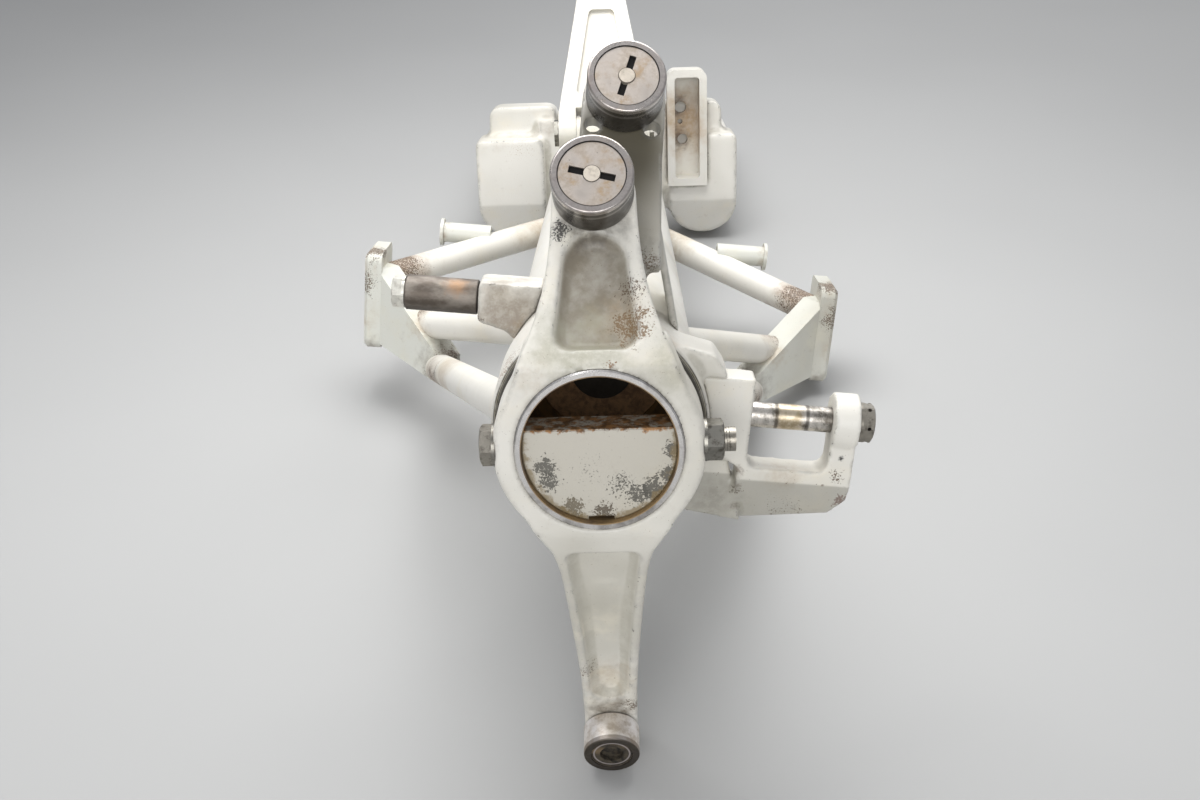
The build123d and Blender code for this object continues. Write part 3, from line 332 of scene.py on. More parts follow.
def soften(piece, voxel, edge_rounds, root_rounds, holds=()):
    """Round a piece's edges and blend its inner corners as forging does, and note where it stood out or in.

    holds are functions that put points back on the fits that must stay true.
    """
    apply(piece, "REMESH", mode="VOXEL", voxel_size=voxel, use_smooth_shade=True)
    mesh = piece.data
    points = points_of(mesh)
    edges = np.empty(len(mesh.edges) * 2, np.int32)
    mesh.edges.foreach_get("vertices", edges)
    edges = edges.reshape(-1, 2)
    normals = np.empty(len(mesh.vertices) * 3)
    mesh.vertices.foreach_get("normal", normals)
    normals = normals.reshape(-1, 3)
    blurred = relaxed(points, edges, 10)
    stands = ((points - blurred) * normals).sum(1) / voxel
    stands = spread(stands, edges, 2)
    inner = np.clip(spread(np.clip(-stands * 3.0 - 0.25, 0, 1), edges, 6) * 4.0, 0, 1)
    points = relaxed(points, edges, edge_rounds)
    points = relaxed(points, edges, root_rounds, 0.5 * inner)
    for hold in holds:
        points = hold(points)
    mesh.vertices.foreach_set("co", points.ravel())
    for name, values in (("edge", np.clip(stands * 2.2, 0, 1)), ("root_shade_and_dirt", inner)):
        attribute = mesh.attributes.new(name, "FLOAT", "POINT")
        attribute.data.foreach_set("value", values.astype(np.float32))
    mesh.update()


def hold_bore(centre, axis, radius, margin=0.9 * MM):
    """Puts points near a bore's wall on the wall."""
    middle, line = np.array(centre), np.array(axis.normalized())

    def hold(points):
        offset = points - middle
        away = offset - (offset @ line)[:, None] * line
        distance = np.linalg.norm(away, axis=1)
        near = (np.abs(distance - radius) < margin) & (distance > 0)
        points = points.copy()
        points[near] += away[near] * (radius / distance[near] - 1)[:, None]
        return points

    return hold


def hold_seat(centre, axis):
    """Keeps points from standing above a roller's flat seat."""
    middle, line = np.array(centre), np.array(axis.normalized())

    def hold(points):
        offset = points - middle
        along = offset @ line
        away = np.linalg.norm(offset - along[:, None] * line, axis=1)
        near = (away < SEAT_REACH) & (along > 0) & (along < 2 * MM)
        points = points.copy()
        points[near] -= along[near][:, None] * line
        return points

    return hold


# Finishes

class Finish:
    """One material's nodes, on the Object coordinates of its pieces."""

    def __init__(self, name):
        self.material = bpy.data.materials.new(name)
        self.material.use_nodes = True
        self.tree = self.material.node_tree
        self.shader = self.tree.nodes["Principled BSDF"]
        self.place = self.tree.nodes.new("ShaderNodeTexCoord").outputs["Object"]

    def node(self, kind, inputs=(), **settings):
        node = self.tree.nodes.new(kind)
        for key, value in settings.items():
            setattr(node, key, value)
        for socket, value in dict(inputs).items():
            self.feed(node.inputs[socket], value)
        return node

    def feed(self, socket, value):
        if isinstance(value, bpy.types.NodeSocket):
            self.tree.links.new(value, socket)
        else:
            socket.default_value = value

    def about(self, centre, axis, side=UP):
        """Coordinates from a centre, with z along an axis."""
        turn = turned_to(axis, side).to_euler()
        return self.node(
            "ShaderNodeMapping",
            {"Vector": self.place, "Location": centre, "Rotation": turn},
            vector_type="TEXTURE",
        ).outputs["Vector"]

    def stretched(self, place, scale):
        return self.node("ShaderNodeMapping", {"Vector": place, "Scale": scale}).outputs["Vector"]

    def noise(self, scale, place=None, detail=4.0, rough=0.55, warp=0.0):
        return self.node(
            "ShaderNodeTexNoise",
            {
                "Vector": place or self.place,
                "Scale": scale,
                "Detail": detail,
                "Roughness": rough,
                "Distortion": warp,
            },
        ).outputs["Fac"]

    def band(self, value, low, high, start=0.0, end=1.0):
        """The value's range from low to high, as start to end, with soft ends."""
        return self.node(
            "ShaderNodeMapRange",
            {"Value": value, "From Min": low, "From Max": high, "To Min": start, "To Max": end},
            interpolation_type="SMOOTHSTEP",
        ).outputs["Result"]

    def below(self, value, low, high):
        """1 below the low value and 0 above the high one."""
        return self.band(value, low, high, 1.0, 0.0)

    def within(self, value, low, high, soft):
        """1 between two values, with soft ends inside them."""
        return self.times(self.band(value, low, low + soft), self.below(value, high - soft, high))

    def apart(self, value, middle):
        """How far a value is from the middle."""
        return self.sums("ABSOLUTE", self.sums("SUBTRACT", value, middle), 0.0)

    def sums(self, operation, first, second):
        node = self.node("ShaderNodeMath", operation=operation)
        self.feed(node.inputs[0], first)
        self.feed(node.inputs[1], second)
        return node.outputs[0]

    def times(self, first, second):
        return self.sums("MULTIPLY", first, second)

    def most(self, first, second):
        return self.sums("MAXIMUM", first, second)

    def mix(self, share, first, second):
        node = self.node("ShaderNodeMix", data_type="RGBA")
        self.feed(node.inputs[0], share)
        for socket, value in ((node.inputs[6], first), (node.inputs[7], second)):
            if not isinstance(value, bpy.types.NodeSocket):
                value = (*value, 1.0)
            self.feed(socket, value)
        return node.outputs[2]

    def over(self, tint, share, *others):
        """Lay a tint over the colour so far, by all the shares multiplied."""
        for other in others:
            share = self.times(share, other)
        self.colour = self.mix(share, self.colour, tint)

    def part(self, place, letter):
        return self.node("ShaderNodeSeparateXYZ", {"Vector": place}).outputs[letter]

    def near(self, centre, radius, soft=0.5, ragged=0.0):
        """1 near a place and 0 beyond the radius, with a ragged edge."""
        measure = self.node("ShaderNodeVectorMath", operation="DISTANCE")
        self.feed(measure.inputs[0], self.place)
        measure.inputs[1].default_value = centre
        distance = measure.outputs["Value"]
        if ragged:
            wobble = self.band(self.noise(3.0 / radius), 0.0, 1.0, -ragged * radius, ragged * radius)
            distance = self.sums("ADD", distance, wobble)
        return self.band(distance, radius * (1 - soft), radius, 1.0, 0.0)

    def flecks(self, centre, reach, dense):
        """Crisp flecks that crowd towards a place."""
        crowd = self.near(centre, reach, 0.8, 0.4)
        fine = self.noise(FLECK_SCALE, rough=0.62)
        return self.band(self.sums("ADD", fine, self.times(crowd, dense)), 0.70, 0.74)

    def radius(self, place):
        """Distance from the z axis of turned coordinates."""
        flat = self.stretched(place, (1, 1, 0))
        return self.node("ShaderNodeVectorMath", {0: flat}, operation="LENGTH").outputs["Value"]

    def rings(self, radius, scale):
        """Noise that runs in rings."""
        inputs = {"W": radius, "Scale": scale, "Detail": 2.0}
        return self.node("ShaderNodeTexNoise", inputs, noise_dimensions="1D").outputs["Fac"]

    def worn(self, name):
        """A piece's own attribute."""
        return self.node("ShaderNodeAttribute", attribute_name=name).outputs["Fac"]

    def surface(self, rough, metal=0.0, height=None, relief=0.0003, strength=0.5, **sockets):
        self.feed(self.shader.inputs["Base Color"], self.colour)
        self.feed(self.shader.inputs["Roughness"], rough)
        self.feed(self.shader.inputs["Metallic"], metal)
        if height is not None:
            bump = self.node("ShaderNodeBump", {"Height": height, "Strength": strength, "Distance": relief})
            self.feed(self.shader.inputs["Normal"], bump.outputs["Normal"])
        for socket, value in sockets.items():
            self.feed(self.shader.inputs[socket.replace("_", " ").title()], value)
        return self.material


def rgb(value):
    return tuple(value)[:3]


def enamel(
    name, main, shade, stains=(), flecks=(), pocket=None, forged=False,
    grain=0.25, chips=0.4, grime=0.22, more=None,
):
    """Old brushed enamel: uneven colour, tan specks, small chips, blushes and flecks at places, worn edges,
    and painted shade in inner corners.

    stains are soft (place, reach, colour, amount) and flecks crisp (place, reach, colour, density) marks.
    A pocket is a (place, outward direction, length, half width) inside which the enamel is darker and
    mottled, and more is a function that lays marks of its own over the finish's colour.
    """
    paint = bpy.context.scene.gear_paint
    finish = Finish(name)
    main, shade = rgb(main), rgb(shade)
    rust, bare = rgb(paint.rust), rgb(paint.bare)
    cloud = finish.noise(9.0, detail=3.0)
    patch = finish.noise(38.0, detail=5.0, rough=0.6)
    finish.colour = finish.mix(finish.band(cloud, 0.42, 0.85), main, shade)
    finish.over(scaled(main, 1.0, 0.955, 0.85), finish.band(patch, 0.48, 0.80, 0.0, 0.7))
    dirt = finish.noise(130.0, detail=7.0, rough=0.68)
    if forged:
        # On forged pieces the inner corners get the greyed enamel: painted shade, broken up by dirt.
        root_shade_and_dirt = finish.band(finish.worn("root_shade_and_dirt"), 0.15, 1.0)
        finish.over(shade, root_shade_and_dirt, finish.band(dirt, 0.35, 0.6, 0.35, 0.8))
    finish.over(rust, finish.band(dirt, 0.58, 0.80, 0.0, grime))
    if pocket:
        centre, outward, length, half = pocket
        place = finish.about(centre, outward)
        along, deep = finish.part(place, "X"), finish.part(place, "Z")
        aside = finish.sums("ABSOLUTE", finish.part(place, "Y"), 0.0)
        aside = finish.sums("ADD", aside, finish.times(along, 0.11))
        inside = finish.times(finish.below(deep, -0.0032, -0.0005), finish.below(aside, half - 0.002, half))
        inside = finish.times(inside, finish.band(along, 0.004, 0.012))
        inside = finish.times(inside, finish.below(along, length, length + 0.004))
        mottle = finish.band(finish.noise(70.0, detail=6.0, rough=0.62), 0.3, 0.65, 0.62, 1.0)
        finish.over(scaled(shade, 0.50, 0.455, 0.405), inside, mottle)
    for centre, reach, tint, amount in stains:
        mask = finish.near(centre, reach, 0.9, 0.45)
        broken = finish.noise(310.0, detail=7.0, rough=0.72)
        broken = finish.band(broken, 0.36, 0.60, 0.15 + 0.7 * amount, 1.0)
        finish.over(tint, mask, broken, amount)
    fine = finish.noise(760.0, detail=3.0, rough=0.6)
    specks = finish.times(finish.band(fine, 0.67, 0.73), finish.band(patch, 0.38, 0.7, 0.05, 0.8))
    finish.over(rust, specks, paint.speckle)
    marks = None
    for centre, reach, tint, dense in flecks:
        mark = finish.flecks(centre, reach, dense)
        marks = mark if marks is None else finish.most(marks, mark)
        finish.over(tint, mark, 0.88)
    if more:
        more(finish)
    chip_noise = finish.noise(430.0, detail=6.0, rough=0.7)
    chip = finish.band(chip_noise, 0.745, 0.76, 0.0, chips)
    if forged:
        edge = finish.worn("edge")
        rub = finish.times(finish.band(edge, 0.2, 0.9), finish.band(dirt, 0.42, 0.62, 0.0, 0.55))
        finish.over(scaled(main, 0.62), rub)
        along_edge = finish.sums("ADD", chip_noise, finish.band(edge, 0.35, 1.0, 0.0, 0.13))
        chip = finish.most(chip, finish.band(along_edge, 0.725, 0.745, 0.0, 0.7))
    finish.over(bare, chip)
    worn = chip if marks is None else finish.most(chip, marks)
    rough = finish.sums("ADD", finish.band(patch, 0.3, 0.7, 0.34, 0.48), finish.times(worn, 0.15))
    lumps = finish.sums("ADD", finish.noise(900.0, detail=2.0), finish.times(finish.noise(160.0), 1.6))
    height = finish.sums("SUBTRACT", finish.times(lumps, grain), finish.times(worn, 0.35))
    return finish.surface(rough, 0.0, height, 0.0004, 0.55, coat_weight=0.12, coat_roughness=0.3)


def worn_steel(name, main, dark, stain, centre, axis, stained, rough, bands=(), slot=None):
    """Turned steel that has worn and stained: scratches round the axis, pits and tan stains.

    bands are (measure, low, high, colour, amount) rings, between two heights along the axis or two radii.
    A slot is (height, reach): everything below the height and within the reach is painted black as the slot's
    shade.
    """
    finish = Finish(name)
    turned = finish.about(centre, axis)
    round_lines = finish.noise(60.0, finish.stretched(turned, (1.0, 1.0, 60.0)), 3.0)
    ring, rise = finish.radius(turned), finish.part(turned, "Z")
    lines = finish.mix(0.5, round_lines, finish.rings(ring, 2600.0))
    blotch = finish.noise(120.0, detail=7.0, rough=0.66)
    fine = finish.noise(520.0, detail=6.0, rough=0.7)
    finish.colour = finish.mix(finish.band(blotch, 0.42, 0.66), main, dark)
    finish.over(dark, finish.band(round_lines, 0.5, 0.72, 0.0, 0.3))
    tan = finish.band(finish.noise(85.0, detail=6.0, rough=0.7), 0.5, 0.66)
    tan = finish.times(finish.times(tan, finish.band(fine, 0.3, 0.6, 0.4, 1.0)), stained)
    finish.over(stain, tan)
    pit = finish.band(fine, 0.66, 0.70, 0.0, 0.8)
    pit = finish.times(pit, finish.band(finish.noise(160.0, detail=4.0), 0.44, 0.58))
    finish.over(scaled(dark, 0.35), pit)
    for place, low, high, tint, amount in bands:
        measure = rise if place == "height" else ring
        shape = finish.within(measure, low, high, min(0.0006, (high - low) * 0.35))
        finish.over(tint, shape, amount)
    metal = finish.band(tan, 0.0, 1.0, 0.95, 0.4)
    roughness = finish.band(blotch, 0.3, 0.7, rough[0], rough[1])
    if slot:
        floor, reach = slot
        # Black inside the slot: painted shade.
        slot_shade = finish.below(rise, floor - 0.0004, floor)
        slot_shade = finish.times(slot_shade, finish.below(ring, reach, reach + 0.0003))
        finish.over(BLACK, slot_shade)
        metal = finish.times(metal, finish.below(slot_shade, 0.0, 1.0))
        roughness = finish.most(roughness, finish.times(slot_shade, 0.8))
    height = finish.sums("SUBTRACT", lines, finish.times(pit, 1.5))
    return finish.surface(roughness, metal, height, 0.00005, 0.45)


def rusty(name, main, deep, bright, ring=None):
    """Rusted steel, lumpy and uneven, with a brighter ring round an axis when given."""
    finish = Finish(name)
    lumps = finish.noise(260.0, detail=8.0, rough=0.7, warp=0.4)
    patch = finish.noise(52.0)
    finish.colour = finish.mix(finish.band(lumps, 0.35, 0.62), deep, main)
    finish.over(bright, finish.band(patch, 0.5, 0.7, 0.0, 0.7))
    if ring:
        centre, axis, low, high, tint = ring
        shape = finish.within(finish.radius(finish.about(centre, axis)), low, high, 0.0003)
        finish.over(tint, shape, 0.85)
    return finish.surface(finish.band(lumps, 0.3, 0.7, 0.58, 0.8), 0.15, lumps, 0.0006, 0.7)


def plain_metal(name, colour, rough, scratches=900.0, metal=1.0, grime=None, amount=0.3):
    """Machined or plated metal with fine scratches and a little grime."""
    finish = Finish(name)
    grain = finish.noise(scratches, detail=5.0, rough=0.6)
    patch = finish.noise(120.0, detail=5.0, rough=0.65)
    finish.colour = finish.mix(finish.band(patch, 0.35, 0.7), colour, scaled(colour, 0.72))
    if grime:
        dirt = finish.noise(300.0, detail=6.0, rough=0.7)
        finish.over(grime, finish.band(dirt, 0.48, 0.66, 0.0, amount))
    rough = finish.band(patch, 0.3, 0.7, rough * 0.8, rough * 1.25)
    return finish.surface(rough, metal, grain, 0.00004, 0.4)


STEEL_BRIGHT = linear(0.84, 0.82, 0.80)
STEEL_LIGHT = linear(0.75, 0.725, 0.705)
STEEL_GREY = linear(0.60, 0.57, 0.56)
TAN = linear(0.66, 0.58, 0.47)
BROWN = linear(0.35, 0.27, 0.19)
RUST = linear(0.53, 0.41, 0.29)
ORANGE = linear(0.65, 0.49, 0.33)
GREASE = linear(0.27, 0.245, 0.21)
BLACK = linear(0.07, 0.06, 0.055)
FLECK_SCALE = 1250.0
# Depth in metres and strength of a machined surface's scratches
FINE_RELIEF = (0.00005, 0.4)


def dress(node, finish):
    """Give a solid its finish."""
    mesh = frame["nodes"][node].data
    mesh.materials.clear()
    mesh.materials.append(finish)


def finished(piece, body, finish, replaces=()):
    """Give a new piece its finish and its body."""
    piece.data.materials.clear()
    piece.data.materials.append(finish)
    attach(piece, body)
    if replaces:
        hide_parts(*replaces)
    return piece


def reach_along(node, centre, axis):
    """How far a solid's mesh goes along an axis from a centre."""
    return float(((points_of(frame["nodes"][node].data) - np.array(centre)) @ np.array(axis)).max())


def roller_of(name):
    """Centre and axis of a roller's joint."""
    joint = joints[f"{name}_roller_spin"]
    return Vector(joint["pos_m"]), Vector(joint["axis"])


class GEAR_OT_enamel(bpy.types.Operator):
    """Paint the housing, truss and torque links in old cream and grey-green enamel"""

    bl_idname = "gear.enamel"
    bl_label = "Paint"

    def execute(self, context):
        paint = context.scene.gear_paint
        cream, shade, green = paint.cream, paint.shade, paint.green_grey
        for node in ("housing_tube", "torque_collar", "upper_link", "lower_link"):
            stains = ()
            if node == "housing_tube":
                stains = spots(on_trunnion, (0, -30, 250, 0.03, TAN, 0.4), (20, -30, 480, 0.03, TAN, 0.4))
            dress(node, enamel(f"{node}_enamel", cream, shade, stains))
        tones = (linear(0.46, 0.44, 0.38), linear(0.30, 0.28, 0.23), linear(0.60, 0.56, 0.46))
        washer = worn_steel("thrust_washer_steel", *tones, TOP_CENTRE, TO_TOP, 0.5, (0.4, 0.6))
        dress("thrust_washer", washer)
        bracket_stains = spots(
            steered,
            (63, 42, 634, 0.040, linear(0.66, 0.54, 0.38), 0.9),
            (59, 54, 634, 0.013, BROWN, 0.9),
            (61, 28, 634, 0.012, BROWN, 0.9),
        )
        dress("fork_bracket", enamel("fork_bracket_enamel", cream, shade, bracket_stains))
        for hand, side in HANDS:
            self.truss(hand, side, cream, shade, green)
        stub_stains = spots(on_trunnion, *((side * 115, -18, 447, 0.011, RUST, 0.75) for side in (-1, 1)))
        dress("rear_stubs", enamel("rear_stubs_enamel", green, shade, stub_stains))
        return {"FINISHED"}

    def truss(self, hand, side, cream, shade, green):
        """One side's gusset, plate and tubes."""

        def marks(*rows):
            return spots(on_trunnion, *((side * row[0], *row[1:]) for row in rows))

        def painted(node, main, stains, flecks):
            dress(f"{hand}_{node}", enamel(f"{hand}_{node}_enamel", main, shade, stains, flecks))

        painted(
            "gusset",
            green,
            marks((97, -82, 344, 0.022, BROWN, 0.7), (112, -60, 352, 0.014, TAN, 0.6)),
            marks((97, -82, 344, 0.018, BROWN, 0.26), (146, -84, 386, 0.012, BROWN, 0.3)),
        )
        painted(
            "side_plate",
            green,
            marks(
                (150, 6, 392, 0.020, TAN, 0.85),
                (158, -30, 384, 0.020, TAN, 0.8),
                (158, -62, 384, 0.020, TAN, 0.8),
                (150, -84, 378, 0.014, BROWN, 0.6),
            ),
            marks((150, -20, 380, 0.016, BROWN, 0.3), (156, -40, 372, 0.016, BROWN, 0.24)),
        )
        for tube, place, mark in (
            ("upper_tube", (46, -14, 470), (136, -34, 396)),
            ("lower_tube", (34, -30, 262), (120, -58, 368)),
            ("diagonal_tube", (92, -66, 270), (108, -92, 318)),
        ):
            stains = [(*place, 0.035, TAN, 0.6), (*mark, 0.030, RUST, 0.75)]
            flecks = [(*mark, 0.026, BROWN, 0.26)]
            if tube == "diagonal_tube":
                stains.append((102, -84, 298, 0.024, TAN, 0.7))
                flecks.append((102, -84, 298, 0.022, BROWN, 0.26))
            painted(tube, cream, marks(*stains), marks(*flecks))


class GEAR_OT_steel(bpy.types.Operator):
    """Give the rollers, tubes, bolts and bushes their worn metals"""

    bl_idname = "gear.steel"
    bl_label = "Metals"

    def execute(self, context):
        self.rollers()
        self.barrel()
        self.uplock()
        self.hardware()
        return {"FINISHED"}

    def rollers(self):
        for name in ("steer", "guide"):
            centre, axis = roller_of(name)
            top = reach_along(f"{name}_roller_stud", centre, axis)
            bands = (
                # The ring's side is dark steel, darkened further as painted shade, and the bright band at its
                # rim is a painted highlight.
                ("height", -0.010, top - 0.0022, linear(0.27, 0.26, 0.235), 0.82),
                ("radius", 0.0126, 0.0133, BLACK, 0.95),
                ("height", top - 0.0065, top - 0.0045, STEEL_BRIGHT, 0.35),
            )
            tones = (STEEL_LIGHT, STEEL_GREY, TAN)
            ring = worn_steel(f"{name}_ring_steel", *tones, centre, axis, 0.3, (0.22, 0.42), bands)
            dress(f"{name}_roller_ring", ring)
            tones = (linear(0.78, 0.745, 0.71), linear(0.66, 0.615, 0.565), linear(0.64, 0.54, 0.41))
            bands = (("radius", 0.0125, 0.0140, BLACK, 0.95), ("radius", 0.0031, 0.0036, BLACK, 0.7))
            slot = (top - 0.0006, 0.0096)
            face = worn_steel(f"{name}_stud_steel", *tones, centre, axis, 0.85, (0.36, 0.55), bands, slot)
            dress(f"{name}_roller_stud", face)
            dress(f"{name}_roller_needles", plain_metal(f"{name}_needle_steel", STEEL_LIGHT, 0.25))
            plug = plain_metal(f"{name}_plug_metal", linear(0.88, 0.84, 0.78), 0.45, metal=0.6, grime=BROWN)
            dress(f"{name}_roller_lube_plug", plug)
        centre, axis = roller_of("lower")
        top = reach_along("lower_roller_ring", centre, axis)
        bands = (
            ("height", top - 0.0028, top + 0.001, BROWN, 0.6),
            ("height", top - 0.0008, top + 0.001, linear(0.24, 0.22, 0.19), 0.85),
            ("height", -0.002, 0.0012, BROWN, 0.6),
        )
        tones = (linear(0.98, 0.96, 0.94), linear(0.82, 0.78, 0.73), TAN)
        ring = worn_steel("lower_ring_steel", *tones, centre, axis, 0.6, (0.38, 0.55), bands)
        dress("lower_roller_ring", ring)
        tones = (linear(0.30, 0.27, 0.22), BLACK, linear(0.52, 0.44, 0.33))
        ring = (centre, axis, 0.0076, 0.0086, STEEL_GREY)
        dress("lower_roller_stud", rusty("lower_stud_rust", *tones, ring))

    def barrel(self):
        barrel = Finish("barrel_steel")
        turned = barrel.about(TOP_CENTRE, TO_TOP)
        lines = barrel.noise(50.0, barrel.stretched(turned, (1.0, 1.0, 40.0)), detail=4.0)
        ring = barrel.radius(turned)
        patch = barrel.noise(70.0, detail=6.0, rough=0.65)
        wear, soot = barrel.band(patch, 0.4, 0.7), barrel.band(patch, 0.38, 0.62)
        bright = barrel.mix(wear, linear(0.82, 0.81, 0.80), linear(0.50, 0.485, 0.47))
        inside = barrel.mix(soot, linear(0.38, 0.31, 0.23), linear(0.56, 0.46, 0.31))
        bore = barrel.below(ring, 0.0300, 0.0304)
        barrel.colour = barrel.mix(bore, bright, inside)
        rough = barrel.sums("ADD", barrel.band(patch, 0.3, 0.7, 0.22, 0.38), barrel.times(bore, 0.3))
        metal = barrel.band(bore, 0.0, 1.0, 1.0, 0.1)
        dress("barrel_tube", barrel.surface(rough, metal, lines, *FINE_RELIEF))

    def uplock(self):
        sleeve = Finish("uplock_sleeve_steel")
        place = sleeve.about(on_trunnion(-72, 31, 95), TRUNNION_RIGHT)
        streaks = sleeve.noise(150.0, sleeve.stretched(place, (1.0, 1.0, 0.5)), detail=6.0, rough=0.62)
        streaked = sleeve.band(streaks, 0.36, 0.68)
        sleeve.colour = sleeve.mix(streaked, linear(0.35, 0.315, 0.28), linear(0.56, 0.53, 0.495))
        patch = sleeve.near(on_trunnion(-66, 38, 89), 0.008, 0.95, 0.3)
        sleeve.over(ORANGE, patch, 0.6)
        # The sleeve's underside is painted darker: painted shade.
        below = sleeve.band(sleeve.part(place, "X"), -0.010, 0.002, 0.85, 0.0)
        sleeve.over(linear(0.20, 0.175, 0.145), below)
        dark_end = sleeve.band(sleeve.part(place, "Z"), 0.0145, 0.0157)
        sleeve.over(BLACK, dark_end, 0.8)
        rough = sleeve.band(streaks, 0.3, 0.7, 0.44, 0.6)
        dress("uplock_sleeve", sleeve.surface(rough, 0.45, streaks, *FINE_RELIEF))
        bolt = plain_metal("uplock_bolt_steel", linear(0.90, 0.89, 0.85), 0.4, 900.0, 0.5, BROWN, 0.35)
        dress("uplock_bolt", bolt)

    def hardware(self):
        dirty = {"grime": GREASE, "amount": 0.75}
        plated = plain_metal("plated_hardware", linear(0.56, 0.55, 0.52), 0.34, **dirty)
        pins = ("fork_bolt", "knee_bolt", "upper_link_pin", "lower_link_pin")
        for node in ("cross_bolt_washers", "cross_bolt_nut", "guide_roller_nut", *pins):
            dress(node, plated)
        bolt = plain_metal("cross_bolt_steel", linear(0.64, 0.62, 0.58), 0.36, grime=GREASE, amount=0.6)
        dress("cross_bolt", bolt)
        bolt = plain_metal("clevis_bolt_steel", linear(0.60, 0.58, 0.54), 0.4, metal=0.8, **dirty)
        dress("clevis_bolt", bolt)
        spacers = Finish("clevis_spacer_steel")
        place = spacers.about(on_trunnion(77.5, 4.8, 43), TRUNNION_RIGHT)
        along = spacers.part(place, "Z")
        blotch = spacers.noise(170.0, detail=7.0, rough=0.68)
        blotched = spacers.band(blotch, 0.40, 0.66)
        spacers.colour = spacers.mix(blotched, linear(0.80, 0.78, 0.75), linear(0.36, 0.34, 0.31))
        warm = spacers.within(along, -0.008, 0.006, 0.004)
        spacers.over(linear(0.78, 0.70, 0.55), warm, 0.5)
        for middle in (-0.0063, 0.0063):
            joint = spacers.band(spacers.apart(along, middle), 0.0003, 0.0012, 0.75, 0.0)
            spacers.over(GREASE, joint)
        spacers.over(GREASE, spacers.band(along, 0.0125, 0.0165, 0.0, 0.7))
        rough = spacers.band(blotch, 0.3, 0.7, 0.26, 0.44)
        dress("clevis_spacers", spacers.surface(rough, 0.9, blotch, *FINE_RELIEF))
        aluminium = plain_metal("machined_aluminium", linear(0.78, 0.78, 0.78), 0.38)
        tones = (linear(0.70, 0.55, 0.40), linear(0.50, 0.38, 0.27), linear(0.82, 0.66, 0.48))
        dress("barrel_bulkhead", rusty("bulkhead_rust", *tones))
        # The standpipe deep in the bore is painted dark brown: painted shade.
        dress("standpipe", plain_metal("standpipe_painted_shade", linear(0.22, 0.19, 0.15), 0.6, metal=0.2))
        for node in ("gland_bearing", "gland_nut"):
            dress(node, aluminium)
        bronze = plain_metal("bearing_bronze", linear(0.68, 0.52, 0.32), 0.38, grime=BLACK, amount=0.4)
        bushes = ("upper_steering_bush", "lower_steering_bush", "pivot_bushes", "axle_bushes")
        for node in (*bushes, "piston_head"):
            dress(node, bronze)
        dress("piston_tube", plain_metal("piston_chrome", linear(0.86, 0.86, 0.87), 0.1, 1500.0))
        rubber = Finish("black_rubber")
        grain = rubber.noise(700.0)
        rubber.colour = rubber.mix(grain, linear(0.09, 0.09, 0.09), linear(0.14, 0.14, 0.14))
        rubber_finish = rubber.surface(rubber.band(grain, 0.3, 0.7, 0.55, 0.7), 0.0, grain, 0.0001, 0.3)
        for node in ("wiper_ring", "piston_seal"):
            dress(node, rubber_finish)


class GEAR_OT_end_plug(bpy.types.Operator):
    """Paint the half-moon plug, chipped at its sides and rusty along its top"""

    bl_idname = "gear.end_plug"
    bl_label = "End plug"

    def execute(self, context):
        paint = context.scene.gear_paint
        bare = linear(0.30, 0.29, 0.26)
        flecks = spots(
            steered,
            (-21, -7, 3, 0.0070, bare, 0.31),
            (-20, -13, 3, 0.0065, bare, 0.30),
            (8, -15, 3, 0.0090, bare, 0.20),
            (14, -19, 3, 0.0085, bare, 0.27),
            (20, -17, 3, 0.0080, bare, 0.33),
            (26, -11, 3, 0.0060, bare, 0.33),
            (28, -1, 3, 0.0055, bare, 0.34),
            (-11, -24, 3, 0.0075, linear(0.38, 0.34, 0.26), 0.33),
            (1, -26.5, 3, 0.0070, linear(0.30, 0.25, 0.18), 0.30),
            (-4, -8, 3, 0.012, bare, 0.10),
        )

        def rusted(finish):
            place = finish.about(TOP_CENTRE, TO_TOP)
            up, ring = finish.part(place, "X"), finish.radius(place)
            ragged = finish.band(finish.noise(260.0, detail=7.0, rough=0.7), 0.25, 0.75, -0.0022, 0.0022)
            arc = finish.band(finish.sums("ADD", ring, ragged), 0.0270, 0.0292, 0.0, 0.75)
            finish.over(linear(0.50, 0.43, 0.29), arc)
            top = finish.band(finish.sums("ADD", up, ragged), 0.0066, 0.0082)
            deep = finish.band(finish.noise(330.0, detail=6.0, rough=0.7), 0.4, 0.6)
            finish.over(finish.mix(deep, linear(0.38, 0.28, 0.19), linear(0.66, 0.49, 0.32)), top)

        main = scaled(paint.cream, 0.70, 0.68, 0.64)
        dress("end_plug", enamel("end_plug_enamel", main, paint.shade, (), flecks, chips=0.7, more=rusted))
        return {"FINISHED"}


